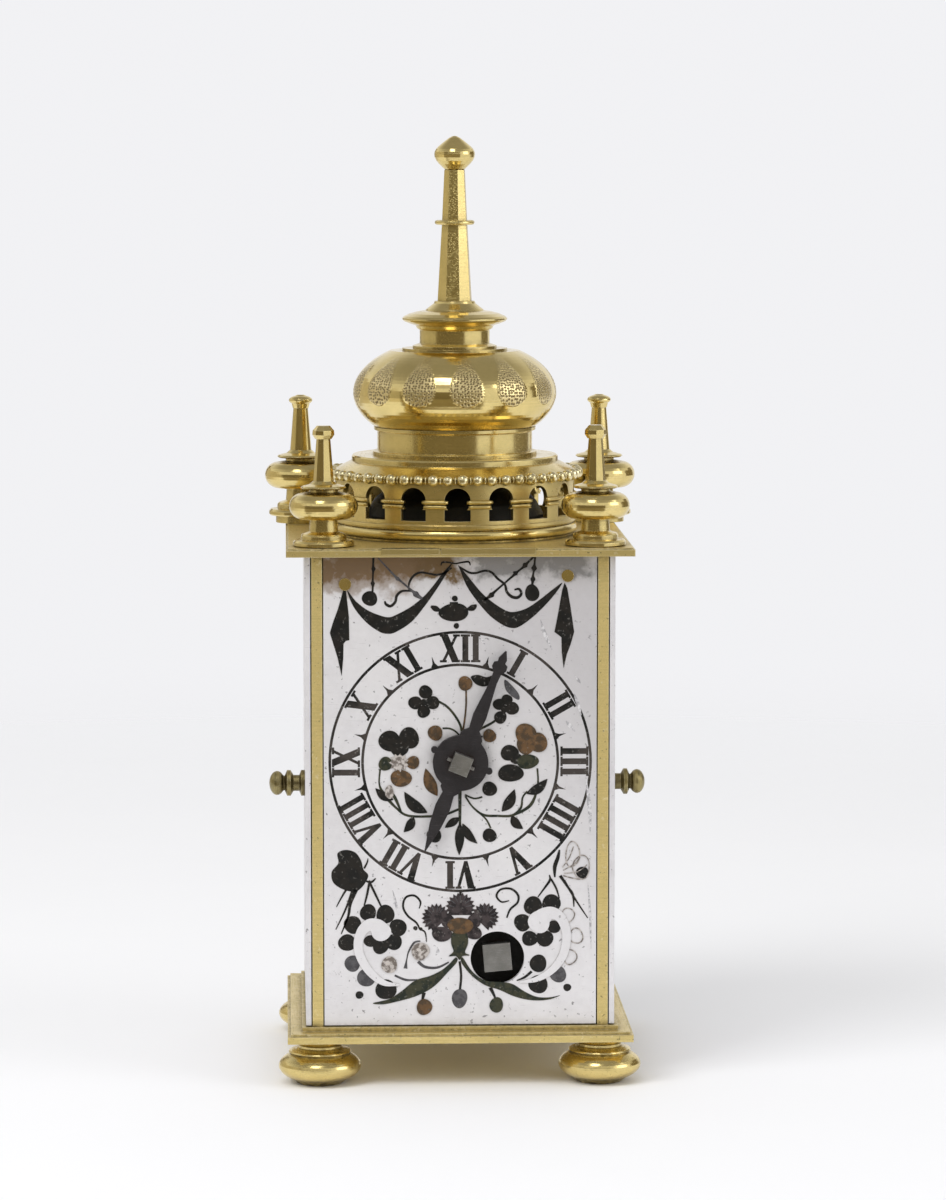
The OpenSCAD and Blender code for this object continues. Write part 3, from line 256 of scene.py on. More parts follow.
def build_corner_grime_and_shade():
    """Dirt in corners and joints, with painted shade there, from ambient occlusion; Distance is in metres.
    """
    tree, entry, leave = group_tree(
        "Corner Grime And Shade", [("Distance", 0.0012), ("Strength", 1.0)], ["Mask"])
    closed = node(tree, "AmbientOcclusion", (-3, 0), samples=8)
    wire(tree, entry, "Distance", closed, "Distance")
    dark = math_node(tree, (-2, 0), "SUBTRACT", 1.0, (closed, "AO"))
    coords = place_in_mm(tree, (-4, 3))
    patches = node(tree, "TexNoise", (-2, 3), in_2=1.4, in_3=4.0)
    wire(tree, coords, 0, patches, "Vector")
    uneven = node(tree, "MapRange", (-1, 3), in_1=0.3, in_2=0.65, in_3=0.4, in_4=1.4)
    wire(tree, patches, 0, uneven, "Value")
    partly = math_node(tree, (0, 0), "MULTIPLY", (dark, 0), (uneven, 0))
    strong = math_node(tree, (1, 0), "MULTIPLY", (partly, 0), (entry, "Strength"), clamp=True)
    wire(tree, strong, 0, leave, "Mask")
    return tree


def build_turning_marks():
    """Fine rings left by the lathe on pieces turned about an upright axis; Pitch is in millimetres."""
    tree, entry, leave = group_tree(
        "Turning Marks", [("Pitch", 0.12), ("Height", 1.0)], ["Height"])
    coords = place_in_mm(tree, (-4, 0))
    split = node(tree, "SeparateXYZ", (-2, 0))
    wire(tree, coords, 0, split, 0)
    step = math_node(tree, (-1, 0), "DIVIDE", (split, "Z"), (entry, "Pitch"))
    rings = node(tree, "TexNoise", (0, 0), noise_dimensions="1D")
    rings.inputs["Scale"].default_value = 1.0
    rings.inputs["Detail"].default_value = 2.0
    wire(tree, step, 0, rings, "W")
    out = math_node(tree, (1, 0), "MULTIPLY", (rings, 0), (entry, "Height"))
    wire(tree, out, 0, leave, "Height")
    return tree


def build_fine_scratches():
    """Thin scratches in two directions; Size is the length of a scratch in millimetres."""
    tree, entry, leave = group_tree(
        "Fine Scratches", [("Size", 3.0), ("Amount", 0.3)], ["Mask"])
    shrink = place_by_size(tree, (-5, 0), entry, "Size")
    limit = math_node(tree, (-2, 4), "SUBTRACT", 0.76, (entry, "Amount"))
    fields = []
    for row, (turn, stretch) in enumerate((((0.2, 0.5, 0.3), (0.6, 16, 13)),
                                           ((-0.4, -0.9, 0.1), (15, 0.7, 17)))):
        aim = node(tree, "Mapping", (-2, row * 2))
        aim.inputs["Rotation"].default_value = turn
        aim.inputs["Scale"].default_value = stretch
        wire(tree, shrink, 0, aim, "Vector")
        lines = node(tree, "TexNoise", (-1, row * 2), in_2=1.0, in_3=1.0)
        wire(tree, aim, 0, lines, "Vector")
        fields.append(lines)
    most = math_node(tree, (0, 0), "MAXIMUM", (fields[0], 0), (fields[1], 0))
    above = math_node(tree, (1, 0), "SUBTRACT", (most, 0), (limit, 0))
    sharp = math_node(tree, (2, 0), "MULTIPLY", (above, 0), 14.0, clamp=True)
    wire(tree, sharp, 0, leave, "Mask")
    return tree


def build_punched_dots():
    """Rows of small dents made with a matting punch; Spacing is in millimetres."""
    tree, entry, leave = group_tree(
        "Punched Dots", [("Spacing", 0.3)], ["Height", "Mask"])
    shrink = place_by_size(tree, (-4, 0), entry, "Spacing")
    dents = node(tree, "TexVoronoi", (-1, 0), feature="F1")
    dents.inputs["Scale"].default_value = 1.0
    dents.inputs["Randomness"].default_value = 0.75
    wire(tree, shrink, 0, dents, "Vector")
    bowl = node(tree, "MapRange", (0, 0), interpolation_type="SMOOTHSTEP", in_1=0.1, in_2=0.5)
    wire(tree, dents, "Distance", bowl, "Value")
    wire(tree, bowl, 0, leave, "Height")
    pit = math_node(tree, (1, 1), "SUBTRACT", 1.0, (bowl, 0))
    wire(tree, pit, 0, leave, "Mask")
    return tree


def build_specks():
    """Small dark pits; Size is in millimetres."""
    tree, entry, leave = group_tree(
        "Specks", [("Size", 0.6), ("Amount", 0.1)], ["Mask"])
    shrink = place_by_size(tree, (-4, 0), entry, "Size")
    grains = node(tree, "TexNoise", (-1, 0), in_2=1.0, in_3=3.0)
    wire(tree, shrink, 0, grains, "Vector")
    limit = math_node(tree, (-1, 2), "SUBTRACT", 0.8, (entry, "Amount"))
    above = math_node(tree, (0, 0), "SUBTRACT", (grains, 0), (limit, 0))
    sharp = math_node(tree, (1, 0), "MULTIPLY", (above, 0), 16.0, clamp=True)
    wire(tree, sharp, 0, leave, "Mask")
    return tree


def build_dome_panels():
    """Pear-shaped panels of dots round the dome; Turn is in degrees, the lengths in millimetres."""
    tree, entry, leave = group_tree(
        "Dome Panels",
        [("Count", 13.0), ("Turn", 5.0), ("Base", 87.9), ("Tall", 7.4), ("Wide", 2.35),
         ("Girth", 84.8), ("Dot", 0.44)],
        ["Mask", "Height"])
    coords = place_in_mm(tree, (-5, 0))
    split = node(tree, "SeparateXYZ", (-3, 0))
    wire(tree, coords, 0, split, 0)
    front = math_node(tree, (-2, 0), "MULTIPLY", (split, "Y"), -1.0)
    angle = math_node(tree, (-1, 0), "ARCTAN2", (split, "X"), (front, 0))
    degrees = math_node(tree, (0, 0), "MULTIPLY", (angle, 0), 180 / math.pi)
    moved = math_node(tree, (1, 0), "SUBTRACT", (degrees, 0), (entry, "Turn"))
    share = math_node(tree, (2, 0), "DIVIDE", (moved, 0), 360.0)
    steps = math_node(tree, (3, 0), "MULTIPLY", (share, 0), (entry, "Count"))
    centred = math_node(tree, (4, 0), "ADD", (steps, 0), 100.5)
    part = math_node(tree, (5, 0), "FRACT", (centred, 0))
    off = math_node(tree, (6, 0), "SUBTRACT", (part, 0), 0.5)
    side = math_node(tree, (7, 0), "ABSOLUTE", (off, 0))
    out_x = math_node(tree, (-2, 3), "MULTIPLY", (split, "X"), (split, "X"))
    out_y = math_node(tree, (-2, 4), "MULTIPLY", (split, "Y"), (split, "Y"))
    squares = math_node(tree, (-1, 3), "ADD", (out_x, 0), (out_y, 0))
    radius = math_node(tree, (0, 3), "SQRT", (squares, 0))
    girth = math_node(tree, (1, 3), "MULTIPLY", (radius, 0), 2 * math.pi)
    pitch = math_node(tree, (2, 3), "DIVIDE", (girth, 0), (entry, "Count"))
    reach = math_node(tree, (8, 0), "MULTIPLY", (side, 0), (pitch, 0))
    height = math_node(tree, (-1, 6), "SUBTRACT", (split, "Z"), (entry, "Base"))
    level = math_node(tree, (0, 6), "DIVIDE", (height, 0), (entry, "Tall"))
    outline = node(tree, "FloatCurve", (1, 6))
    shape = outline.mapping.curves[0]
    shape.points[0].location = (0.0, 0.0)
    shape.points[1].location = (1.0, 0.0)
    for spot in ((0.05, 0.55), (0.16, 0.92), (0.3, 1.0), (0.48, 0.85), (0.68, 0.55), (0.86, 0.3)):
        shape.points.new(*spot)
    outline.mapping.update()
    wire(tree, level, 0, outline, "Value")
    width = math_node(tree, (2, 6), "MULTIPLY", (outline, 0), (entry, "Wide"))
    inside = math_node(tree, (9, 0), "SUBTRACT", (width, 0), (reach, 0))
    soft = node(tree, "MapRange", (10, 0), interpolation_type="SMOOTHSTEP", in_1=-0.15, in_2=0.5)
    wire(tree, inside, 0, soft, "Value")
    fading = node(tree, "MapRange", (3, 6), interpolation_type="SMOOTHSTEP", in_1=0.95, in_2=0.45)
    wire(tree, level, 0, fading, "Value")
    faded = math_node(tree, (11, 0), "MULTIPLY", (soft, 0), (fading, 0))
    wire(tree, faded, 0, leave, "Mask")
    across = math_node(tree, (3, 9), "MULTIPLY", (share, 0), (entry, "Girth"))
    inward = math_node(tree, (3, 10), "SUBTRACT", (split, "Z"), (radius, 0))
    spot = node(tree, "CombineXYZ", (4, 9))
    wire(tree, across, 0, spot, 0)
    wire(tree, inward, 0, spot, 1)
    shrink = node(tree, "VectorMath", (5, 9), operation="DIVIDE")
    wire(tree, spot, 0, shrink, 0)
    wire(tree, entry, "Dot", shrink, 1)
    dents = node(tree, "TexVoronoi", (6, 9), voronoi_dimensions="2D", feature="F1")
    dents.inputs["Scale"].default_value = 1.0
    dents.inputs["Randomness"].default_value = 0.55
    wire(tree, shrink, 0, dents, "Vector")
    bowl = node(tree, "MapRange", (7, 9), interpolation_type="SMOOTHSTEP", in_1=0.12, in_2=0.48)
    wire(tree, dents, "Distance", bowl, "Value")
    wire(tree, bowl, 0, leave, "Height")
    leave.location = (2500, 0)
    return tree


def build_facet_choice():
    """White on every second side of the eight-sided spire; Turn is in degrees."""
    tree, entry, leave = group_tree("Facet Choice", [("Turn", 0.0)], ["Mask"])
    coords = place_in_mm(tree, (-5, 0))
    split = node(tree, "SeparateXYZ", (-3, 0))
    wire(tree, coords, 0, split, 0)
    front = math_node(tree, (-2, 0), "MULTIPLY", (split, "Y"), -1.0)
    angle = math_node(tree, (-1, 0), "ARCTAN2", (split, "X"), (front, 0))
    degrees = math_node(tree, (0, 0), "MULTIPLY", (angle, 0), 180 / math.pi)
    moved = math_node(tree, (1, 0), "SUBTRACT", (degrees, 0), (entry, "Turn"))
    pairs = math_node(tree, (2, 0), "DIVIDE", (moved, 0), 90.0)
    lifted = math_node(tree, (3, 0), "ADD", (pairs, 0), 8.25)
    part = math_node(tree, (4, 0), "FRACT", (lifted, 0))
    first = math_node(tree, (5, 0), "LESS_THAN", (part, 0), 0.5)
    wire(tree, first, 0, leave, "Mask")
    return tree


GROUP_BUILDERS = {
    "Cloudy Tone": build_cloudy_tone,
    "Worn Edges And Highlights": build_worn_edges_and_highlights,
    "Corner Grime And Shade": build_corner_grime_and_shade,
    "Turning Marks": build_turning_marks,
    "Fine Scratches": build_fine_scratches,
    "Punched Dots": build_punched_dots,
    "Specks": build_specks,
    "Dome Panels": build_dome_panels,
    "Facet Choice": build_facet_choice,
}


def effect(tree, name, place, **values):
    """Places a shared effect in a material, built the first time it is used."""
    made = tree.nodes.new("ShaderNodeGroup")
    made.node_tree = bpy.data.node_groups.get(name) or GROUP_BUILDERS[name]()
    made.location = (place[0] * 190, -place[1] * 170)
    made.name = name
    for key, value in values.items():
        made.inputs[key].default_value = value
    return made


class Finish:
    """A material under construction: keeps the running colour, roughness and height."""

    def __init__(self, name, colour, metallic, roughness):
        self.material = bpy.data.materials.new(name)
        self.material.use_nodes = True
        self.tree = self.material.node_tree
        self.shader = self.tree.nodes["Principled BSDF"]
        self.shader.location = (2600, 0)
        self.shader.inputs["Base Color"].default_value = (*colour, 1)
        self.shader.inputs["Metallic"].default_value = metallic
        self.shader.inputs["Roughness"].default_value = roughness
        self.material.diffuse_color = (*colour, 1)
        self.start = (*colour, 1)
        self.column = 0
        self.colour = None
        self.rough = None
        self.heights = []

    def tint(self, mask, colour, amount=1.0):
        """Mixes a colour over the running one where the mask is white."""
        self.column += 1
        mix = node(self.tree, "Mix", (self.column, 0), data_type="RGBA")
        if self.colour is None:
            mix.inputs[6].default_value = self.start
        else:
            self.tree.links.new(self.colour, mix.inputs[6])
        mix.inputs[7].default_value = (*colour, 1)
        scaled = math_node(self.tree, (self.column, 2), "MULTIPLY", mask, amount, clamp=True)
        self.tree.links.new(scaled.outputs[0], mix.inputs[0])
        self.colour = mix.outputs[2]
        return self

    def roughen(self, mask, amount):
        """Adds to the roughness where the mask is white."""
        self.column += 1
        scaled = math_node(self.tree, (self.column, 4), "MULTIPLY", mask, amount)
        base = self.rough or self.shader.inputs["Roughness"].default_value
        added = math_node(self.tree, (self.column, 5), "ADD", (scaled, 0), base, clamp=True)
        self.rough = (added, 0)
        return self

    def bump(self, source, depth):
        """Adds relief from a height; depth is in millimetres."""
        self.heights.append((source, depth))
        return self

    def done(self, edge=0.0):
        """Links what was gathered to the shader; edge rounds sharp edges, in metres."""
        if self.colour is not None:
            self.tree.links.new(self.colour, self.shader.inputs["Base Color"])
        if self.rough is not None:
            wire(self.tree, self.rough[0], self.rough[1], self.shader, "Roughness")
        normal = None
        if edge:
            round_edge = node(self.tree, "Bevel", (8, 6), samples=4)
            round_edge.inputs["Radius"].default_value = edge
            normal = round_edge.outputs[0]
        for index, (source, depth) in enumerate(self.heights):
            relief = node(self.tree, "Bump", (9 + index, 6))
            relief.inputs["Strength"].default_value = 1.0
            relief.inputs["Distance"].default_value = depth * MM
            wire(self.tree, source[0], source[1], relief, "Height")
            if normal is not None:
                self.tree.links.new(normal, relief.inputs["Normal"])
            normal = relief.outputs[0]
        if normal is not None:
            self.tree.links.new(normal, self.shader.inputs["Normal"])
        return self.material


def gilt_finish(name, colour, roughness, turned=True, grime_and_shade=0.8, wear_and_highlight=0.5, scratches=0.16, metallic=1.0):
    """Gilded brass with thin places, dirt and painted shade in its corners, rubbed edges with a painted
    edge highlight, and lathe or file marks.
    """
    look = settings()[1]
    finish = Finish(name, colour, metallic, roughness)
    tree = finish.tree
    clouds = effect(tree, "Cloudy Tone", (-2, 0), Size=4.0, Contrast=0.22)
    small = effect(tree, "Cloudy Tone", (-2, 1), Size=0.7, Contrast=0.25)
    dirt_and_shade = effect(tree, "Corner Grime And Shade", (-2, 2), Distance=0.0011, Strength=grime_and_shade)
    rubbed_and_highlit = effect(tree, "Worn Edges And Highlights", (-2, 3), Radius=0.00018, Strength=wear_and_highlight)
    marks = effect(tree, "Fine Scratches", (-2, 4), Size=2.2, Amount=scratches)
    finish.tint((clouds, 0), look.gilt_deep, 0.4)
    finish.tint((small, 0), look.gilt_deep, 0.15)
    finish.tint((marks, 0), look.gilt_deep, 0.3)
    # Painted highlight: pale brass along sharp edges, partly rubbed gilding and partly the light an edge
    # catches.
    finish.tint((rubbed_and_highlit, 0), look.gilt_pale, 0.7)
    # Painted shade: dark brown in corners and joints that ambient occlusion finds, over the dirt that lies
    # there.
    finish.tint((dirt_and_shade, 0), look.grime_and_shade, 0.85)
    finish.roughen((clouds, 0), 0.06)
    finish.roughen((marks, 0), 0.1)
    finish.roughen((dirt_and_shade, 0), 0.25)
    if turned:
        rings = effect(tree, "Turning Marks", (-2, 5), Pitch=0.16, Height=1.0)
        finish.bump((rings, 0), 0.0018)
    finish.bump((small, 0), 0.0012 if turned else 0.006)
    finish.bump((marks, 0), -0.0012 if turned else -0.004)
    return finish


def add_wear_specks(finish):
    """Small bright rubs and dark pits over flat brass."""
    look = settings()[1]
    rubs = effect(finish.tree, "Specks", (-2, 6), Size=0.7, Amount=0.17)
    pits = effect(finish.tree, "Specks", (-2, 7), Size=0.4, Amount=0.15)
    finish.tint((rubs, 0), look.gilt_pale, 0.4)
    finish.tint((pits, 0), look.grime_and_shade, 0.55)
    finish.bump((pits, 0), -0.012)


def silver_finish(name, roughness, tarnish_and_shade=0.35, stained_and_shaded=False):
    """Silvered plate with tarnish, pits, scratches, and dirt with painted shade in its corners; the dial
    also has a brown stain and painted shade that makes it duller towards its upper right.
    """
    look = settings()[1]
    finish = Finish(name, look.silver, 0.35, roughness)
    tree = finish.tree
    clouds = effect(tree, "Cloudy Tone", (-2, 0), Size=9.0, Contrast=0.24)
    small = effect(tree, "Cloudy Tone", (-2, 1), Size=0.9, Contrast=0.3)
    pits = effect(tree, "Specks", (-2, 2), Size=0.55, Amount=0.13)
    marks = effect(tree, "Fine Scratches", (-2, 3), Size=1.5, Amount=0.05)
    dirt_and_shade = effect(tree, "Corner Grime And Shade", (-2, 4), Distance=0.001, Strength=0.9)
    # Tarnish in patches; on the side plates, a larger amount also paints shade.
    finish.tint((clouds, 0), look.silver_dull, tarnish_and_shade)
    finish.tint((small, 0), (0.90, 0.89, 0.91), 0.35)
    finish.tint((marks, 0), look.silver_dull, 0.4)
    finish.tint((pits, 0), (0.16, 0.15, 0.155), 0.75)
    # Painted shade: dark brown in corners and joints that ambient occlusion finds, over the dirt that lies
    # there.
    finish.tint((dirt_and_shade, 0), look.grime_and_shade, 0.7)
    # Only the dial: its stains, and painted shade towards its upper right.
    if stained_and_shaded:
        add_stains_and_shade(finish)
    finish.roughen((clouds, 0), 0.12)
    finish.roughen((marks, 0), -0.12)
    finish.bump((small, 0), 0.012)
    finish.bump((marks, 0), -0.01)
    return finish


def add_stains_and_shade(finish):
    """The brown stain at the dial's upper left, the grey tarnish at its upper right, and painted shade that
    makes the plate duller towards its upper right.
    """
    look = settings()[1]
    tree = finish.tree
    coords = place_in_mm(tree, (-5, 8))
    drift = node(tree, "TexNoise", (-4, 9), in_2=0.38, in_3=4.0, in_4=0.6)
    wire(tree, coords, 0, drift, "Vector")
    centred = node(tree, "VectorMath", (-3, 9), operation="SUBTRACT", in_1=(0.5, 0.5, 0.5))
    wire(tree, drift, "Color", centred, 0)
    pushed = node(tree, "VectorMath", (-2, 9), operation="MULTIPLY", in_1=(7.0, 0.0, 6.0))
    wire(tree, centred, 0, pushed, 0)
    torn_place = node(tree, "VectorMath", (-1, 8), operation="ADD")
    wire(tree, coords, 0, torn_place, 0)
    wire(tree, pushed, 0, torn_place, 1)
    split = node(tree, "SeparateXYZ", (0, 8))
    wire(tree, torn_place, 0, split, 0)
    rough = effect(tree, "Cloudy Tone", (-2, 10), Size=1.6, Contrast=0.3)
    centre = DIAL_CENTRE / MM
    # Painted shade: dull silver laid on more and more towards the plate's upper right.
    shade_axis = node(tree, "VectorMath", (1, 11), operation="DOT_PRODUCT", in_1=(0.7, 0.0, 0.5))
    wire(tree, torn_place, 0, shade_axis, 0)
    shade_to_upper_right = node(tree, "MapRange", (2, 11), interpolation_type="SMOOTHSTEP")
    shade_to_upper_right.inputs["From Min"].default_value = centre * 0.5 - 3
    shade_to_upper_right.inputs["From Max"].default_value = centre * 0.5 + 21
    wire(tree, shade_axis, "Value", shade_to_upper_right, "Value")
    finish.tint((shade_to_upper_right, 0), look.silver_dull, 0.55)
    for left, right, low, colour, amount in (
            (-18.8, 1.6, 23.6, look.stain, 0.95),
            (-18.8, -5.0, 22.2, (0.24, 0.155, 0.09), 0.6),
            (1.5, 18.6, 24.2, (0.14, 0.135, 0.13), 0.7)):
        above = node(tree, "MapRange", (0, 8), interpolation_type="SMOOTHSTEP")
        above.inputs["From Min"].default_value = centre + low - 0.9
        above.inputs["From Max"].default_value = centre + low + 0.9
        wire(tree, split, "Z", above, "Value")
        begin = node(tree, "MapRange", (0, 9), interpolation_type="SMOOTHSTEP")
        begin.inputs["From Min"].default_value = left
        begin.inputs["From Max"].default_value = left + 1.6
        wire(tree, split, "X", begin, "Value")
        finish_at = node(tree, "MapRange", (0, 10), interpolation_type="SMOOTHSTEP")
        finish_at.inputs["From Min"].default_value = right
        finish_at.inputs["From Max"].default_value = right - 3.0
        wire(tree, split, "X", finish_at, "Value")
        box = math_node(tree, (1, 8), "MULTIPLY", (above, 0), (begin, 0))
        field = math_node(tree, (2, 8), "MULTIPLY", (box, 0), (finish_at, 0))
        ragged = math_node(tree, (3, 9), "ADD", (rough, 0), 0.7)
        torn = math_node(tree, (3, 8), "MULTIPLY", (field, 0), (ragged, 0), clamp=True)
        finish.tint((torn, 0), colour, amount)


def enamel_finish(name, colour, patch=None, patch_amount=0.0, patch_size=1.4, roughness=0.32):
    """Enamel with small bubbles, a tired gloss and patches of another tone."""
    finish = Finish(name, colour, 0.0, roughness)
    tree = finish.tree
    clouds = effect(tree, "Cloudy Tone", (-2, 0), Size=1.1, Contrast=0.25)
    small = effect(tree, "Cloudy Tone", (-2, 1), Size=0.35, Contrast=0.3)
    pits = effect(tree, "Specks", (-2, 2), Size=0.35, Amount=0.16)
    lighter = tuple(min(1.0, c * 1.5 + 0.004) for c in colour)
    finish.shader.inputs["Specular IOR Level"].default_value = 0.3
    finish.tint((clouds, 0), lighter, 0.6)
    finish.tint((pits, 0), (0.24, 0.23, 0.21), 0.5)
    if patch:
        spots = effect(tree, "Cloudy Tone", (-2, 3), Size=patch_size, Contrast=0.08)
        finish.tint((spots, 0), patch, patch_amount)
    finish.roughen((small, 0), 0.25)
    finish.bump((small, 0), 0.02)
    return finish


def steel_finish(name, colour, roughness, metallic=0.85, rust_and_shade=0.2):
    """Iron or steel with file marks, pits, pale rubbed edges with a painted edge highlight, and a little
    rust with painted shade in its corners.
    """
    finish = Finish(name, colour, metallic, roughness)
    tree = finish.tree
    clouds = effect(tree, "Cloudy Tone", (-2, 0), Size=1.6, Contrast=0.25)
    small = effect(tree, "Cloudy Tone", (-2, 1), Size=0.3, Contrast=0.3)
    marks = effect(tree, "Fine Scratches", (-2, 2), Size=0.8, Amount=0.1)
    dirt_and_shade = effect(tree, "Corner Grime And Shade", (-2, 3), Distance=0.0008, Strength=1.0)
    rubbed_and_highlit = effect(tree, "Worn Edges And Highlights", (-2, 4), Radius=0.00012, Strength=0.8)
    darker = tuple(c * 0.55 for c in colour)
    lighter = tuple(min(1.0, c * 1.9 + 0.02) for c in colour)
    finish.tint((clouds, 0), darker, 0.6)
    finish.tint((marks, 0), lighter, 0.35)
    # Painted highlight: lighter steel along sharp edges, partly rubbed metal and partly the light an edge
    # catches.
    finish.tint((rubbed_and_highlit, 0), lighter, 0.6)
    # Painted shade: rust brown in corners and joints that ambient occlusion finds, over the rust that lies
    # there.
    finish.tint((dirt_and_shade, 0), (0.07, 0.03, 0.012), rust_and_shade)
    finish.roughen((small, 0), 0.2)
    finish.bump((small, 0), 0.012)
    finish.bump((marks, 0), -0.006)
    return finish


def dome_finish():
    """Gilt brass with thirteen pear-shaped panels, each matted with a punch."""
    look = settings()[1]
    finish = gilt_finish("Gilt Brass, Dome", look.gilt, 0.1, wear_and_highlight=0.1, scratches=0.08)
    tree = finish.tree
    panels = effect(tree, "Dome Panels", (-2, 7))
    grain = math_node(tree, (-1, 8), "MULTIPLY", (panels, "Mask"), (panels, "Height"))
    hollow = math_node(tree, (-1, 9), "SUBTRACT", 1.0, (panels, "Height"))
    pits = math_node(tree, (0, 9), "MULTIPLY", (panels, "Mask"), (hollow, 0))
    finish.tint((panels, 0), (0.86, 0.74, 0.48), 0.35)
    finish.tint((pits, 0), (0.16, 0.105, 0.045), 0.85)
    finish.roughen((panels, 0), 0.16)
    finish.bump((grain, 0), 0.09)
    return finish.done(edge=0.0001)


def spire_finish():
    """Gilt brass with every second side matted."""
    look = settings()[1]
    finish = gilt_finish("Gilt Brass, Spire", look.gilt, 0.12, wear_and_highlight=0.4)
    tree = finish.tree
    sides = effect(tree, "Facet Choice", (-2, 7), Turn=-8.5)
    dents = effect(tree, "Punched Dots", (-2, 8), Spacing=0.26)
    grain = math_node(tree, (-1, 8), "MULTIPLY", (sides, 0), (dents, "Height"))
    finish.tint((sides, 0), look.gilt_deep, 0.4)
    finish.roughen((sides, 0), 0.12)
    finish.bump((grain, 0), 0.035)
    return finish.done(edge=0.00012)


def assign(material, *names):
    """Gives CAD nodes a material in all their slots."""
    for name in names:
        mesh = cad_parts[name].data
        if not mesh.materials:
            mesh.materials.append(material)
        for index in range(len(mesh.materials)):
            mesh.materials[index] = material


def curve_through(points, steps, closed):
    """Points of a smooth curve through the given ones."""
    count = len(points)
    spans = count if closed else count - 1
    found = []
    for index in range(spans):
        around = []
        for offset in (-1, 0, 1, 2):
            at = index + offset
            at = at % count if closed else min(max(at, 0), count - 1)
            around.append(points[at])
        before, here, there, after = around
        for step in range(steps):
            t = step / steps
            found.append(tuple(
                0.5 * (2 * b + (c - a) * t + (2 * a - 5 * b + 4 * c - d) * t * t
                       + (3 * b - a - 3 * c + d) * t ** 3)
                for a, b, c, d in zip(before, here, there, after)))
    if not closed:
        found.append(tuple(points[-1]))
    return found


def blob(points, steps=5):
    """A smooth closed outline."""
    return curve_through(points, steps, True)


def disc(x, z, across, tall=None, sides=28, wobble=0.03):
    """A round or oval cell, a little uneven as if cut by hand."""
    tall = tall or across
    outline = []
    for index in range(sides):
        turn = 2 * math.pi * index / sides
        off = 1 + wobble * math.sin(3 * turn + x * 2.3) + wobble * math.sin(2 * turn + z)
        outline.append((x + across * off * math.cos(turn), z + tall * off * math.sin(turn)))
    return outline


def stroke(points, widths, steps=6):
    """A line of changing width along a smooth path."""
    if not isinstance(widths, (list, tuple)):
        widths = [widths] * len(points)
    path = curve_through([(*p, w) for p, w in zip(points, widths)], steps, False)
    left, right = [], []
    for index, (x, z, width) in enumerate(path):
        ahead = path[min(index + 1, len(path) - 1)]
        behind = path[max(index - 1, 0)]
        dx, dz = ahead[0] - behind[0], ahead[1] - behind[1]
        length = math.hypot(dx, dz) or 1.0
        nx, nz = -dz / length * width / 2, dx / length * width / 2
        left.append((x + nx, z + nz))
        right.append((x - nx, z - nz))
    return left + right[::-1]


def leaf(x0, z0, x1, z1, width, bend=0.0):
    """A pointed leaf from its foot to its tip."""
    mid = ((x0 + x1) / 2 - (z1 - z0) * bend, (z0 + z1) / 2 + (x1 - x0) * bend)
    shares = (0.06, 0.5, 0.92, 1.0, 0.8, 0.4, 0.04)
    path = curve_through([(x0, z0), mid, (x1, z1)], 3, False)
    return stroke(path, [width * share for share in shares], steps=4)


def fringed(x, z, radius, teeth, facing=90, spread=300):
    """A carnation petal: round, with a toothed rim over part of it."""
    outline = []
    steps = teeth * 2
    for index in range(steps + 1):
        turn = math.radians(facing - spread / 2 + spread * index / steps)
        reach = radius * (1.0 if index % 2 else 0.8)
        outline.append((x + reach * math.cos(turn), z + reach * math.sin(turn)))
    return outline


def ring_line(x, z, across, tall, width, sides=30):
    """A closed thin line round an oval, as one outline."""
    outer = disc(x, z, across, tall, sides, 0.05)
    inner = disc(x, z, across - width, tall - width, sides, 0.05)
    return outer + [outer[0], inner[0]] + inner[::-1]


def piece_from(name, work):
    """An object in the scene, with the finished mesh of a bmesh."""
    mesh = bpy.data.meshes.new(name)
    work.to_mesh(mesh)
    work.free()
    piece = bpy.data.objects.new(name, mesh)
    bpy.context.scene.collection.objects.link(piece)
    return piece


def inlay(name, outlines, material, layer=0):
    """One piece made of flat cells let into the dial plate."""
    ornament = settings()[0]
    work = bmesh.new()
    for index, outline in enumerate(outlines):
        front = PLATE_FRONT - ornament.enamel_proud - (layer + (index % 5) * 0.15) * 0.02 * MM
        back = PLATE_FRONT + 0.1 * MM
        near = [work.verts.new((x * MM, front, DIAL_CENTRE + z * MM)) for x, z in outline]
        far = [work.verts.new((x * MM, back, DIAL_CENTRE + z * MM)) for x, z in outline]
        face = work.faces.new(near)
        if face.calc_area() and face.normal.y > 0:
            face.normal_flip()
        work.faces.new(far[::-1])
        for step in range(len(near)):
            after = (step + 1) % len(near)
            work.faces.new((near[step], near[after], far[after], far[step]))
    bmesh.ops.recalc_face_normals(work, faces=work.faces)
    flat_faces = [f for f in work.faces if len(f.verts) > 4]
    bmesh.ops.triangulate(work, faces=flat_faces, ngon_method="EAR_CLIP")
    piece = piece_from(name, work)
    piece.data.materials.append(material)
    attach(piece, "root")
    return piece


def material_of(name, maker):
    """A material by name, made the first time it is asked for."""
    return bpy.data.materials.get(name) or maker()


# Each enamel: its colour, or the setting that holds it, the patches' colour and amount,
# then the patches' size in millimetres and the roughness where they aren't the usual ones
ENAMELS = {
    "Dark Enamel": ("enamel", (0.03, 0.022, 0.016), 0.3),
    "Ring Enamel": ("enamel", (0.30, 0.24, 0.21), 0.15, 6.0),
    "Amber Enamel": ("amber", (0.045, 0.034, 0.022), 0.75, 0.8),
    "Petal Enamel": ((0.016, 0.012, 0.013), (0.09, 0.07, 0.07), 0.5, 0.8),
    "Green Enamel": ((0.013, 0.018, 0.012), (0.07, 0.066, 0.034), 0.5, 0.9),
    "Grey Enamel": ((0.050, 0.048, 0.052), (0.13, 0.125, 0.13), 0.5, 0.8),
    "Worn Enamel": ((0.46, 0.42, 0.39), (0.09, 0.07, 0.055), 0.85, 0.55, 0.6),
}


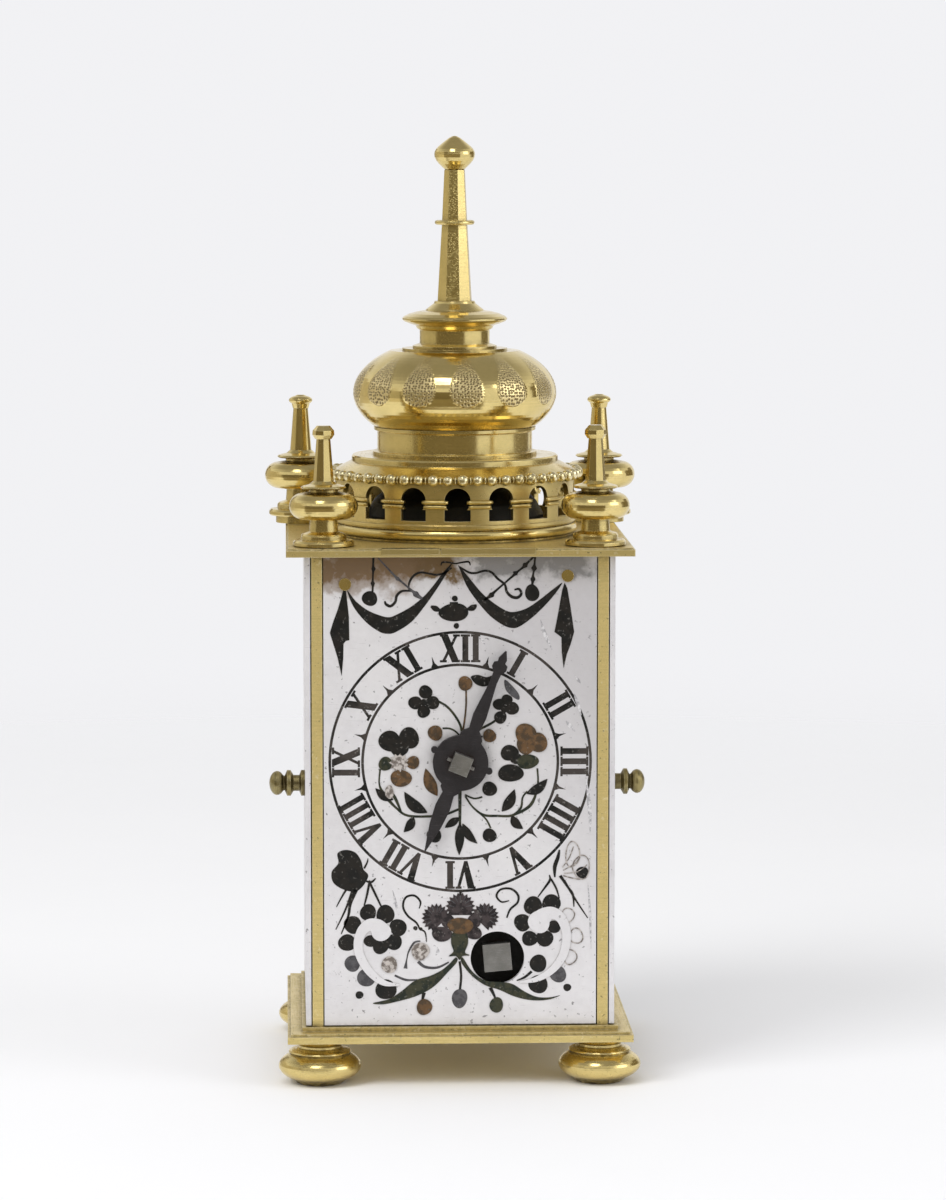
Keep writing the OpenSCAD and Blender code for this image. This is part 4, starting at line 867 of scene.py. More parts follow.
def enamel(name):
    """An enamel of the list, made the first time it is asked for."""
    colour, *rest = ENAMELS[name]
    if isinstance(colour, str):
        colour = getattr(settings()[1], colour)
    return material_of(name, lambda: enamel_finish(name, colour, *rest).done())


def plate_silver():
    return material_of("Silver, Dial", lambda: silver_finish(
        "Silver, Dial", 0.42, 0.26, stained_and_shaded=True).done(edge=0.0001))


def scroll_silver():
    return material_of("Silver, Scrolls", lambda: silver_finish(
        "Silver, Scrolls", 0.42, 0.2).done(edge=0.00005))


SWAG_LEFT = [(-14.6, 22.4), (-13.8, 20.3), (-12.2, 18.3), (-10.5, 17.05), (-9.3, 16.75), (-8.2, 17.05),
             (-6.3, 18.3), (-4.7, 20.2), (-3.3, 22.15), (-2.1, 24.0), (-1.0, 25.9), (-1.3, 25.7),
             (-2.2, 24.7), (-3.4, 23.1), (-4.6, 21.7), (-6.3, 20.3), (-8.2, 19.25), (-9.3, 18.9),
             (-10.7, 19.25), (-12.1, 19.9), (-13.5, 21.0)]
SWAG_RIGHT = [(-0.2, 25.6), (0.1, 24.7), (0.9, 22.8), (2.3, 20.8), (3.9, 19.0), (5.5, 17.85),
              (6.6, 17.45), (7.6, 17.6), (9.2, 18.7), (10.9, 20.3), (12.3, 21.9), (13.2, 23.3),
              (11.8, 22.3), (10.4, 21.2), (8.8, 20.1), (7.4, 19.6), (6.2, 19.6), (4.6, 20.5),
              (2.9, 21.9), (1.3, 23.8)]
TASSEL_LEFT = [(-15.1, 22.5), (-14.75, 22.3), (-14.4, 19.0), (-14.35, 15.95), (-14.8, 15.85),
               (-15.1, 15.5), (-15.15, 13.5), (-15.35, 11.3), (-15.9, 13.8), (-16.55, 15.9),
               (-16.85, 16.9), (-16.5, 18.1), (-15.8, 20.0)]
TASSEL_RIGHT = [(13.5, 23.3), (13.85, 22.6), (14.3, 20.0), (14.75, 16.9), (14.3, 15.3), (13.8, 14.0),
                (13.4, 12.2), (13.15, 14.2), (13.1, 16.2), (12.8, 16.45), (12.2, 16.9), (12.7, 19.5),
                (13.2, 22.4)]
BUTTERFLY = [(-15.95, -11.9), (-14.9, -11.45), (-13.65, -11.8), (-12.9, -12.85), (-12.6, -14.0),
             (-12.0, -14.7), (-12.15, -15.4), (-12.8, -16.35), (-13.75, -16.95), (-15.4, -16.55),
             (-16.55, -15.65), (-16.7, -14.3), (-15.85, -13.2)]
BLADE_LEFT = [(-11.4, -31.65), (-9.25, -31.1), (-7.55, -30.0), (-5.9, -28.7), (-3.95, -28.1),
              (-2.5, -27.4), (-1.5, -26.6), (-0.6, -25.7), (-0.45, -26.3), (-1.8, -27.8),
              (-3.0, -29.1), (-4.2, -30.0), (-5.9, -30.8), (-8.05, -31.4), (-10.0, -31.8)]
BLADE_RIGHT = [(0.3, -25.7), (1.5, -27.5), (3.2, -28.75), (5.6, -29.0), (6.9, -29.3), (8.3, -30.2),
               (9.9, -30.95), (11.6, -31.05), (13.0, -30.8), (11.4, -31.35), (9.25, -31.4),
               (7.1, -30.9), (5.1, -30.0), (3.2, -29.35), (1.5, -28.1), (0.15, -26.4)]
SCALLOPS = [(-12.0, -19.7, 0.98), (-9.75, -19.95, 1.1), (-8.1, -21.7, 1.02), (-8.7, -23.6, 0.98),
            (-10.4, -24.2, 0.9), (-11.75, -23.45, 0.72), (-14.0, -21.3, 1.05), (-14.75, -23.65, 1.02),
            (-9.7, -29.85, 1.22), (9.45, -18.9, 1.08), (11.85, -18.65, 1.1), (8.1, -21.15, 1.02),
            (9.05, -23.25, 0.92), (11.0, -23.25, 1.0), (12.2, -21.75, 0.75), (10.15, -29.3, 1.12)]
SCALLOP_SIZE = 1.1
# Petals of the carnation: centre, radius and the way they face in degrees
CARNATION = [(0.0, -19.1, 1.95, 90), (-3.15, -20.45, 1.9, 135), (3.2, -20.35, 1.85, 45)]
SCALLOPS_WORN = [(-14.05, -26.4, 0.95), (-12.3, -28.3, 1.05), (12.75, -28.0, 0.98)]
SCALLOPS_BARE = [(14.05, -20.2, 0.9, 0.95), (15.1, -22.95, 0.9, 1.1), (14.35, -25.75, 0.9, 1.0)]
SCROLL_LEFT = [(-10.3, -22.1, 2.3), (-10.9, -21.55, 2.1), (-11.9, -21.35, 1.6), (-12.85, -22.2, 1.3),
               (-13.3, -23.8, 1.2), (-13.0, -25.5, 1.15), (-11.8, -27.5, 1.05), (-10.0, -28.95, 0.75),
               (-7.9, -29.25, 0.2)]
SCROLL_RIGHT = [(10.2, -21.0, 2.5), (10.9, -20.3, 2.2), (12.0, -19.9, 1.6), (13.2, -20.7, 1.3),
                (13.85, -22.8, 1.15), (13.45, -25.3, 1.1), (12.1, -27.3, 0.95), (10.0, -28.6, 0.7),
                (7.7, -29.0, 0.2)]
# Three points and the greatest width of each rubbed mark
SCUFFS = [((-8.8, -16.8), (-8.4, -18.5), (-8.05, -20.1), 0.34),
          ((10.4, 18.5), (11.0, 16.5), (11.9, 14.6), 0.5),
          ((13.7, 5.3), (14.2, 4.7), (14.9, 3.9), 0.55),
          ((14.7, 9.0), (15.3, 7.4), (15.7, 6.0), 0.45),
          ((16.6, -15.9), (16.9, -20.0), (17.05, -24.7), 0.3),
          ((-3.0, -24.3), (-2.95, -24.9), (-3.2, -25.4), 0.45),
          ((2.4, 16.2), (2.9, 15.8), (3.2, 15.3), 0.4),
          ((13.4, -21.9), (13.3, -23.4), (13.1, -24.7), 0.14),
          ((16.3, -2.0), (16.8, -6.0), (16.9, -9.5), 0.5),
          ((14.9, 11.2), (15.3, 10.6), (15.6, 10.2), 0.35)]


def swag_outlines():
    """Swags, tassels, rods, ribbons and the medallion above the dial."""
    cells = [blob(SWAG_LEFT), blob(SWAG_RIGHT), TASSEL_LEFT, TASSEL_RIGHT]
    cells.append(stroke([(-11.2, 26.8), (-11.25, 25.6), (-11.2, 25.2), (-11.25, 24.8), (-11.3, 23.7),
                         (-11.3, 23.3), (-11.3, 22.9), (-11.35, 22.1)],
                        [0.3, 0.26, 0.55, 0.26, 0.26, 0.55, 0.26, 0.26], 4))
    cells.append(stroke([(9.7, 26.8), (9.6, 25.7), (9.55, 25.2), (9.5, 24.8), (9.4, 24.2),
                         (9.4, 23.8), (9.35, 23.4), (9.3, 22.8)],
                        [0.3, 0.28, 0.75, 0.3, 0.3, 0.65, 0.35, 0.3], 4))
    cells.append(stroke([(9.5, 26.7), (8.7, 25.9), (8.4, 25.6), (8.1, 25.3), (7.4, 24.75), (7.1, 24.5),
                         (6.8, 24.2), (4.5, 22.2), (4.1, 21.8), (3.7, 21.5), (3.1, 21.1)],
                        [0.3, 0.3, 0.7, 0.3, 0.3, 0.75, 0.3, 0.3, 0.7, 0.4, 0.25], 4))
    cells.append(disc(-11.7, 21.35, 0.98))
    cells.append(disc(9.3, 22.0, 0.93, 1.1))
    cells.append(disc(-0.83, 19.5, 1.9, 1.2))
    cells.append(stroke([(-1.35, 20.7), (-0.3, 20.7)], 0.3, 2))
    cells.append(disc(-0.7, 21.3, 0.38))
    cells.append(disc(-0.5, 17.75, 0.36))
    cells.append(stroke([(-3.8, 20.3), (-3.2, 20.0), (-2.6, 19.75)], [0.25, 0.75, 0.3], 4))
    cells.append(stroke([(0.9, 19.9), (1.6, 20.1), (2.1, 20.45)], [0.3, 0.8, 0.25], 4))
    cells.append(stroke([(-1.1, 25.3), (-2.1, 24.6), (-3.1, 24.4), (-4.0, 24.55), (-5.2, 24.7),
                         (-6.1, 24.2),
                         (-6.6, 23.3), (-6.65, 22.4)], [0.2, 0.28, 0.28, 0.25, 0.28, 0.3, 0.28, 0.12]))
    cells.append(stroke([(-6.3, 22.3), (-7.5, 22.3), (-8.2, 21.7), (-8.4, 20.9), (-9.0, 20.35),
                         (-9.6, 20.6),
                         (-9.75, 21.0)], [0.2, 0.3, 0.34, 0.34, 0.36, 0.34, 0.2]))
    cells.append(stroke([(-0.05, 25.4), (1.1, 24.7), (2.0, 24.6), (3.2, 24.9), (4.1, 24.65), (4.8, 23.9),
                         (5.75, 23.1), (6.0, 22.2), (6.6, 21.55), (7.4, 21.4), (7.9, 21.9), (7.6, 22.5),
                         (7.0, 22.4)],
                        [0.2, 0.28, 0.28, 0.28, 0.3, 0.3, 0.3, 0.34, 0.38, 0.38, 0.34, 0.32, 0.2]))
    cells.append(stroke([(-2.5, 25.6), (-2.3, 26.0), (-1.5, 26.0), (-0.6, 25.85), (0.3, 26.0), (1.1, 26.05),
                         (1.3, 25.6)], [0.12, 0.24, 0.22, 0.2, 0.22, 0.24, 0.12]))
    return cells


def faint_rod_outlines():
    """The left slanting rod, whose filling has faded."""
    return [stroke([(-10.6, 26.6), (-9.6, 25.5), (-8.4, 24.2), (-8.1, 23.9), (-7.7, 23.6), (-6.2, 22.3),
                    (-5.8, 21.95), (-5.4, 21.6), (-4.9, 21.3)],
                   [0.15, 0.2, 0.3, 0.5, 0.25, 0.3, 0.75, 0.5, 0.3], 4)]


def stem_outlines():
    """Stems of the spray round the dial's centre."""
    wide = settings()[0].stem_width / MM
    thin = wide * 0.75
    return [
        stroke([(-3.0, 8.0), (-1.8, 7.3), (-0.8, 6.2), (0.0, 4.8), (0.25, 3.4), (0.2, 2.2)], wide),
        stroke([(5.6, 6.4), (4.3, 5.2), (2.4, 4.2), (0.9, 3.5), (0.3, 2.6)], wide),
        stroke([(-2.3, 4.4), (-1.3, 4.35), (-0.4, 3.8), (0.15, 2.9)], thin),
        stroke([(2.9, 3.3), (1.8, 3.3), (0.6, 2.6)], thin),
        stroke([(2.85, -4.6), (1.8, -4.8), (0.6, -4.3)], thin),
        stroke([(-0.05, -3.4), (-0.05, -6.0), (-0.05, -8.2)], [0.45, 0.4, 0.3]),
        stroke([(-0.2, -6.2), (-2.0, -6.9), (-3.6, -7.1), (-6.8, -7.0), (-8.4, -5.9), (-9.8, -4.3),
                (-10.5, -2.9), (-10.4, -0.9)], [wide, wide, wide, wide, wide, 0.45, thin, thin]),
        stroke([(-7.6, -6.7), (-8.5, -4.6), (-9.3, -3.6)], [0.2, 0.4, 0.2]),
        stroke([(0.65, -4.5), (1.6, -5.9), (3.0, -6.95), (4.8, -7.1), (6.7, -7.05), (7.85, -6.1),
                (8.1, -4.7),
                (8.7, -3.9)], [thin, thin, wide, wide, wide, wide, thin, thin]),
        stroke([(6.9, -7.0), (8.2, -6.4), (9.2, -5.6), (9.8, -4.3), (10.1, -2.7), (10.0, -0.9)],
               [wide, 0.36, 0.4, wide, thin, thin]),
        stroke([(3.95, -8.7), (3.4, -7.6), (2.5, -6.7)], thin),
    ]


def dark_flower_outlines():
    """Dark petals, leaves and berries round the dial's centre."""
    cells = [disc(-4.5, 9.15, 0.88), disc(-5.85, 7.75, 0.86), disc(-4.75, 6.6, 0.82),
             disc(-3.6, 7.75, 0.88), disc(-4.7, 7.8, 0.45)]
    cells += [disc(6.75, 6.95, 0.85), disc(5.2, 5.8, 0.82), disc(5.0, 7.5, 0.75), disc(6.05, 8.1, 0.7),
              disc(5.75, 6.9, 0.5)]
    cells += [disc(-9.15, 2.75, 1.42, 1.38), disc(-6.65, 3.15, 1.3, 1.4), disc(-7.9, 1.75, 1.15, 1.0)]
    cells += [disc(6.4, 1.15, 1.15, 1.05), disc(6.55, -1.5, 1.72, 1.1), disc(7.3, 0.35, 0.8, 0.7)]
    cells += [blob([(1.4, 11.15), (2.3, 11.35), (3.4, 11.05), (4.4, 11.3), (4.2, 10.35), (3.2, 9.85),
                    (2.2, 10.05), (1.6, 10.6)])]
    cells += [leaf(-4.3, -6.6, -7.25, -3.9, 1.5, 0.12), leaf(-6.1, -7.1, -7.35, -9.15, 1.15, 0.1)]
    cells += [leaf(5.4, -6.5, 7.05, -3.65, 1.35, -0.08), leaf(6.7, -7.05, 8.15, -8.8, 1.15, -0.12)]
    cells += [leaf(8.6, -4.2, 11.3, -2.3, 1.25, -0.1), leaf(-8.7, -4.9, -11.0, -3.4, 1.1, 0.1)]
    cells += [leaf(-0.05, -8.0, -0.15, -12.2, 1.2), leaf(0.3, -8.1, 2.2, -10.7, 1.1, -0.08)]
    cells += [leaf(-0.1, -7.3, -2.0, -8.6, 1.0), disc(3.8, -9.65, 0.9), disc(-3.4, -9.6, 0.95)]
    cells += [disc(3.8, -3.55, 0.95)]
    return cells


def amber_outlines():
    """Amber cells: berries, pansy petals and the carnation's heart."""
    return [disc(0.65, 10.25, 0.93), disc(-3.25, 3.8, 0.97), disc(3.8, 3.4, 0.85),
            disc(8.5, 3.6, 1.38), disc(10.0, 2.5, 1.3), disc(8.5, 2.2, 1.15, 1.3),
            disc(-7.7, -2.1, 1.42, 1.08), disc(-6.15, -0.05, 0.85), disc(0.0, -21.5, 1.7, 1.05),
            disc(-4.7, -32.2, 1.03)]


def green_outlines():
    """Green-grey cells: calyx, small petals and one berry."""
    return [disc(8.75, 0.0, 1.42, 0.95), disc(-9.7, -0.2, 0.9), disc(4.7, -32.0, 0.9, 1.0),
            blob([(-1.05, -22.5), (-0.1, -22.3), (0.85, -22.5), (1.0, -23.8), (0.6, -25.0), (1.2, -25.4),
                  (0.3, -25.5), (-0.1, -26.0), (-0.6, -25.5), (-1.5, -25.5), (-0.9, -24.9), (-1.2, -23.8)])]


def brown_line_outlines():
    """Brown stem of the top berry and a few thin brown lines."""
    return [stroke([(0.75, 9.3), (0.75, 7.5), (0.6, 5.8), (0.35, 4.2)], 0.22),
            leaf(-3.0, -4.4, -4.5, -0.85, 1.55, 0.06)]


def scroll_outlines():
    """Dark cells below the dial: scallops, berries, stems, tendrils and the butterflies."""
    cells = [disc(x, z, r * SCALLOP_SIZE) for x, z, r in SCALLOPS]
    cells += [blob(BUTTERFLY), stroke([(0.0, -17.0), (0.0, -17.9)], 0.3, 2)]
    cells += [disc(10.15, -26.55, 1.13), disc(-13.15, -30.55, 0.5), disc(13.95, -29.75, 0.5)]
    cells += [stroke([(9.3, -27.6), (8.4, -28.35), (7.35, -28.8)], [0.35, 0.3, 0.15]),
              stroke([(-0.1, -26.2), (0.1, -28.1), (-0.05, -29.9)], 0.3),
              stroke([(-4.75, -30.3), (-4.95, -31.3)], [0.5, 0.3], 3),
              stroke([(3.9, -29.7), (4.3, -30.5), (4.6, -31.2)], [0.5, 0.35, 0.25])]
    cells += [stroke([(-5.35, -19.2), (-5.2, -18.3), (-6.0, -17.5), (-7.1, -17.75), (-7.45, -18.95),
                      (-6.85, -20.15), (-5.75, -21.05), (-5.3, -21.9)],
                     [0.12, 0.25, 0.27, 0.27, 0.27, 0.27, 0.25, 0.2]),
              disc(-5.85, -21.8, 0.28), disc(-5.15, -21.9, 0.22),
              stroke([(-5.3, -21.9), (-4.6, -22.35), (-4.4, -23.6)], [0.25, 0.2, 0.1]),
              stroke([(6.35, -18.25), (5.35, -18.4), (4.7, -17.6), (5.3, -16.75), (6.6, -16.7),
                      (7.5, -17.5),
                      (7.45, -18.5), (6.5, -19.4), (6.05, -20.5)],
                     [0.12, 0.22, 0.25, 0.25, 0.27, 0.3, 0.27, 0.25, 0.2])]
    cells += [stroke([(-14.8, -16.6), (-15.4, -17.6), (-16.1, -18.9)], [0.3, 0.22, 0.12]),
              stroke([(-13.6, -16.7), (-14.3, -18.5), (-14.6, -20.2),
                      (-15.5, -22.5)], [0.6, 0.4, 0.3, 0.12]),
              stroke([(-14.0, -16.7), (-14.9, -19.2), (-16.2, -21.9)], [0.3, 0.25, 0.12]),
              stroke([(-11.8, -15.6), (-12.1, -17.2), (-12.5, -18.8)], [0.3, 0.28, 0.2]),
              stroke([(-11.9, -15.5), (-11.0, -17.4), (-10.2, -19.1)], [0.3, 0.28, 0.2]),
              stroke([(-11.0, -15.2), (-11.6, -15.7), (-12.4, -15.5)], [0.15, 0.3, 0.2]),
              stroke([(-12.5, -13.9), (-12.1, -13.1), (-12.0, -12.6)], [0.25, 0.2, 0.1])]
    cells += [stroke([(11.6, -14.9), (11.65, -15.6), (10.9, -16.7),
                      (10.1, -17.8)], [0.15, 0.3, 0.24, 0.12]),
              stroke([(11.8, -15.4), (12.5, -16.7), (12.9, -18.0)], [0.25, 0.24, 0.15]),
              stroke([(13.0, -15.0), (14.0, -16.5), (14.65, -17.5), (14.8, -19.1)], [0.4, 0.3, 0.3, 0.12]),
              stroke([(13.5, -15.6), (14.9, -18.0), (16.6, -20.6)], [0.3, 0.25, 0.12]),
              stroke([(12.9, -11.6), (12.7, -12.6), (12.3, -13.8), (12.3, -15.2)], [0.2, 0.45, 0.5, 0.2]),
              disc(15.9, -14.6, 0.85, 0.75)]
    return cells


def carnation_outlines():
    """The carnation's toothed petals."""
    return [fringed(x, z, radius, 14, facing, 260) for x, z, radius, facing in CARNATION] + [
        disc(-2.4, -22.6, 1.3, 1.0), disc(1.75, -22.5, 1.05, 0.85),
        disc(-1.6, -20.9, 0.9), disc(1.8, -20.9, 0.9)]


def carnation_ray_outlines():
    """Pale rays in each petal of the carnation."""
    rays = []
    for x, z, radius, facing in CARNATION:
        for off in (-80, -52, -26, 0, 26, 52, 80):
            turn = math.radians(facing + off)
            near, far = radius * 0.4, radius * 0.8
            rays.append(stroke([(x + near * math.cos(turn), z + near * math.sin(turn)),
                                (x + far * math.cos(turn), z + far * math.sin(turn))],
                               [0.05, 0.13], 2))
    return rays


def grey_outlines():
    """Greyer cells, worn scallops and marks on the plate."""
    cells = [disc(-0.1, -31.1, 1.0, 1.28), blob([(5.75, 10.7), (6.7, 9.95), (7.6, 8.8), (7.6, 8.1),
                                                  (6.8, 8.45), (5.9, 9.4)])]
    cells += [disc(x, z, r * SCALLOP_SIZE) for x, z, r in SCALLOPS_WORN]
    cells += [stroke([(-8.55, -28.0), (-7.1, -28.6), (-5.6, -28.6)], [0.25, 0.3, 0.15]),
              stroke([(-5.5, -26.2), (-4.6, -26.9), (-3.0, -27.0), (-1.5, -26.3)], [0.4, 0.35, 0.3, 0.2]),
              stroke([(-7.15, -27.1), (-7.0, -26.0), (-6.7, -24.8), (-6.0, -23.7), (-5.2, -23.5)],
                     [0.5, 0.16, 0.2, 0.25, 0.15])]
    return cells


def worn_outlines():
    """Cells whose enamel has fallen out or turned white."""
    star = [(-7.95 + 1.3 * (1 if k % 2 else 0.72) * math.cos(k * math.pi / 11),
             -0.05 + 1.25 * (1 if k % 2 else 0.72) * math.sin(k * math.pi / 11)) for k in range(22)]
    cells = [star, disc(-9.25, -26.6, 1.05), disc(-5.2, -24.85, 1.15), disc(-9.2, -3.9, 0.55, 0.9)]
    return cells


def bare_line_outlines():
    """Thin outlines left where cells are empty: scallops and the right butterfly's wings."""
    cells = [ring_line(x, z, a, b, 0.12) for x, z, a, b in SCALLOPS_BARE]
    cells += [ring_line(14.6, -12.2, 0.95, 1.75, 0.12), ring_line(15.75, -13.9, 1.2, 1.55, 0.12)]
    cells += [stroke([(13.3, -13.9), (14.2, -12.6), (14.7, -11.2)], 0.1, 3),
              stroke([(13.4, -14.3), (14.9, -13.4), (15.6, -12.6)], 0.1, 3),
              stroke([(13.5, -14.7), (15.2, -14.5), (16.5, -13.6)], 0.1, 3),
              stroke([(13.4, -15.0), (14.9, -15.4), (16.0, -15.5)], 0.12, 3)]
    return cells


class CLOCK_OT_swags(bpy.types.Operator):
    """Lets the swags, tassels and ribbons into the plate above the dial"""
    bl_idname = "clock.swags"
    bl_label = "Swags and Tassels"

    def execute(self, context):
        inlay("swag_ornament", swag_outlines(), enamel("Dark Enamel"))
        inlay("faded_rod", faint_rod_outlines(), enamel("Grey Enamel"), 1)
        return {"FINISHED"}


class CLOCK_OT_spray(bpy.types.Operator):
    """Lets the spray of flowers into the middle of the dial"""
    bl_idname = "clock.spray"
    bl_label = "Flowers in the Dial"

    def execute(self, context):
        inlay("spray_stems", stem_outlines(), enamel("Green Enamel"))
        inlay("spray_petals", dark_flower_outlines(), enamel("Dark Enamel"), 1)
        inlay("amber_cells", amber_outlines(), enamel("Amber Enamel"), 3)
        inlay("green_cells", green_outlines(), enamel("Green Enamel"), 2)
        inlay("brown_cells", brown_line_outlines(), enamel("Amber Enamel"), 1)
        return {"FINISHED"}


class CLOCK_OT_scrolls(bpy.types.Operator):
    """Lets the scrolls, carnation, berries and butterflies into the plate below the dial"""
    bl_idname = "clock.scrolls"
    bl_label = "Scrolls and Carnation"

    def execute(self, context):
        inlay("scroll_ornament", scroll_outlines(), enamel("Dark Enamel"))
        inlay("carnation", carnation_outlines(), enamel("Petal Enamel"), 1)
        inlay("carnation_rays", carnation_ray_outlines(), enamel("Grey Enamel"), 3)
        inlay("blades", [blob(BLADE_LEFT), blob(BLADE_RIGHT)], enamel("Green Enamel"), 1)
        inlay("grey_cells", grey_outlines(), enamel("Grey Enamel"))
        inlay("worn_cells", worn_outlines(), enamel("Worn Enamel"), 4)
        inlay("empty_cells", bare_line_outlines(), enamel("Worn Enamel"), 2)
        bands = [stroke([(x, z) for x, z, w in path], [w for x, z, w in path])
                 for path in (SCROLL_LEFT, SCROLL_RIGHT)]
        bands += [disc(-10.35, -22.15, 1.3), disc(10.25, -21.05, 1.45)]
        inlay("scroll_bands", bands, scroll_silver(), 4)
        scuffs = [stroke(mark[:3], [0.05, mark[3], 0.05]) for mark in SCUFFS]
        inlay("plate_scuffs", scuffs, scuff_silver(), -1)
        return {"FINISHED"}


def scuff_silver():
    """Dull silver for rubbed marks on the plate."""
    return material_of("Silver, Scuffed", scuffed)


def scuffed():
    finish = Finish("Silver, Scuffed", (0.40, 0.39, 0.41), 0.3, 0.5)
    small = effect(finish.tree, "Cloudy Tone", (-2, 0), Size=0.35, Contrast=0.12)
    finish.tint((small, 0), settings()[1].silver, 0.9)
    finish.bump((small, 0), 0.01)
    return finish.done()


# Millimetres that the beads' centres lie past the lid's side and above its foot
BEAD_REACH = 0.12
BEAD_RISE = 0.52
# Share of a bead's radius outwards, along the rim and upwards
REEL_SHAPE = (0.6, 0.2, 0.75)


class CLOCK_OT_beads(bpy.types.Operator):
    """Sets a row of beads round the lid's rim, with a small reel between each two"""
    bl_idname = "clock.beads"
    bl_label = "Beaded Rim"

    def execute(self, context):
        ornament = settings()[0]
        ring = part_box("lid")[1].x + BEAD_REACH * MM
        level = LID_BASE + BEAD_RISE * MM
        work = bmesh.new()
        for index in range(ornament.bead_count):
            turn = 2 * math.pi * index / ornament.bead_count
            uneven = 1 + 0.07 * math.sin(index * 2.7) + 0.04 * math.sin(index * 1.3)
            made = bmesh.ops.create_uvsphere(work, u_segments=12, v_segments=8,
                                             radius=ornament.bead_radius * uneven)
            at = Vector((ring * math.cos(turn), ring * math.sin(turn),
                         level + 0.03 * MM * math.sin(index * 1.9)))
            bmesh.ops.translate(work, verts=made["verts"], vec=at)
            turn += math.pi / ornament.bead_count
            reel = bmesh.ops.create_uvsphere(work, u_segments=8, v_segments=6,
                                             radius=ornament.bead_radius)
            bmesh.ops.scale(work, verts=reel["verts"], vec=REEL_SHAPE)
            bmesh.ops.rotate(work, verts=reel["verts"], matrix=Matrix.Rotation(turn, 3, "Z"))
            at = Vector((ring * math.cos(turn), ring * math.sin(turn), level))
            bmesh.ops.translate(work, verts=reel["verts"], vec=at)
        for face in work.faces:
            face.smooth = True
        piece = piece_from("lid_beads", work)
        piece.data.materials.append(gilt_beads())
        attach(piece, "root")
        return {"FINISHED"}


def gilt_beads():
    look = settings()[1]
    return material_of("Gilt Brass, Beads", lambda: gilt_finish(
        "Gilt Brass, Beads", look.gilt_pale, 0.16, turned=False, grime_and_shade=0.4, wear_and_highlight=0.0).done())


# Height above the gallery's foot in millimetres, half width in degrees and share of the full thickness
CAPITAL_BANDS = ((3.45, 6.2, 1.0), (2.85, 5.4, 0.9))


class CLOCK_OT_capitals(bpy.types.Operator):
    """Puts two small beads across each column of the gallery"""
    bl_idname = "clock.capitals"
    bl_label = "Gallery Capitals"

    def execute(self, context):
        ornament = settings()[0]
        radius = ornament.capital_radius
        profile = [(radius * 1.1 * math.cos(k * math.pi / 4), radius * 0.9 * math.sin(k * math.pi / 4))
                   for k in range(8)]
        work = bmesh.new()
        pitch = 360 / ornament.capital_count
        for index in range(ornament.capital_count):
            middle = 270 + ornament.capital_turn + pitch * (index + 0.5)
            for level, half, small in CAPITAL_BANDS:
                rings = []
                for step in range(9):
                    turn = math.radians(middle - half + 2 * half * step / 8)
                    out = Vector((math.cos(turn), math.sin(turn), 0))
                    taper = 0.72 if step in (0, 8) else 1.0
                    at = out * GALLERY_RADIUS + Vector((0, 0, GALLERY_BASE + level * MM))
                    rings.append([work.verts.new(at + out * a * taper * small
                                                 + Vector((0, 0, b * taper * small)))
                                  for a, b in profile])
                for first, second in zip(rings, rings[1:]):
                    for corner in range(8):
                        after = (corner + 1) % 8
                        work.faces.new((first[corner], first[after], second[after], second[corner]))
                work.faces.new(rings[0][::-1])
                work.faces.new(rings[-1])
        bmesh.ops.recalc_face_normals(work, faces=work.faces)
        for face in work.faces:
            face.smooth = len(face.verts) == 4
        piece = piece_from("gallery_capitals", work)
        piece.data.materials.append(gilt_gallery())
        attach(piece, "root")
        return {"FINISHED"}


def gilt_gallery():
    look = settings()[1]
    return material_of("Gilt Brass, Gallery", lambda: gilt_finish(
        "Gilt Brass, Gallery", look.gilt, 0.26, turned=True, grime_and_shade=1.0, wear_and_highlight=0.5).done(edge=0.00012))


# Millimetres: left and right end of each strip, and how far it is sunk
STRIPS = ((-10.2, -2.75, 0.03), (-2.55, 9.7, 0.0))
# Millimetres that the strips stand before and above the top plate, and reach into it
STRIP_PROUD = 0.06
STRIP_RAISED = 0.03
STRIP_DEEP = 1.3


class CLOCK_OT_edge_strip(bpy.types.Operator):
    """Lets the two bright strips into the top plate's front edge"""
    bl_idname = "clock.edge_strip"
    bl_label = "Bright Strip"

    def execute(self, context):
        ornament = settings()[0]
        low, high = TOP_PLATE
        front = low.y - STRIP_PROUD * MM
        top = high.z + STRIP_RAISED * MM
        back = low.y + STRIP_DEEP * MM
        base = top - ornament.strip_height
        work = bmesh.new()
        for left, right, drop in STRIPS:
            corners = []
            for x in (left * MM, right * MM):
                for y, z in ((front, base), (front, top), (back, top), (back, base)):
                    corners.append(work.verts.new((x, y, z - drop * MM)))
            for side in range(4):
                after = (side + 1) % 4
                work.faces.new((corners[side], corners[after], corners[4 + after], corners[4 + side]))
            work.faces.new(corners[3::-1])
            work.faces.new(corners[4:])
        bmesh.ops.recalc_face_normals(work, faces=work.faces)
        bmesh.ops.bevel(work, geom=work.edges[:], offset=0.05 * MM, segments=2, affect="EDGES")
        piece = piece_from("edge_strips", work)
        piece.data.materials.append(gilt_finish(
            "Gilt Brass, Strip", (0.88, 0.74, 0.36), 0.3, turned=False, grime_and_shade=0.5).done(edge=0.00005))
        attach(piece, "root")
        return {"FINISHED"}


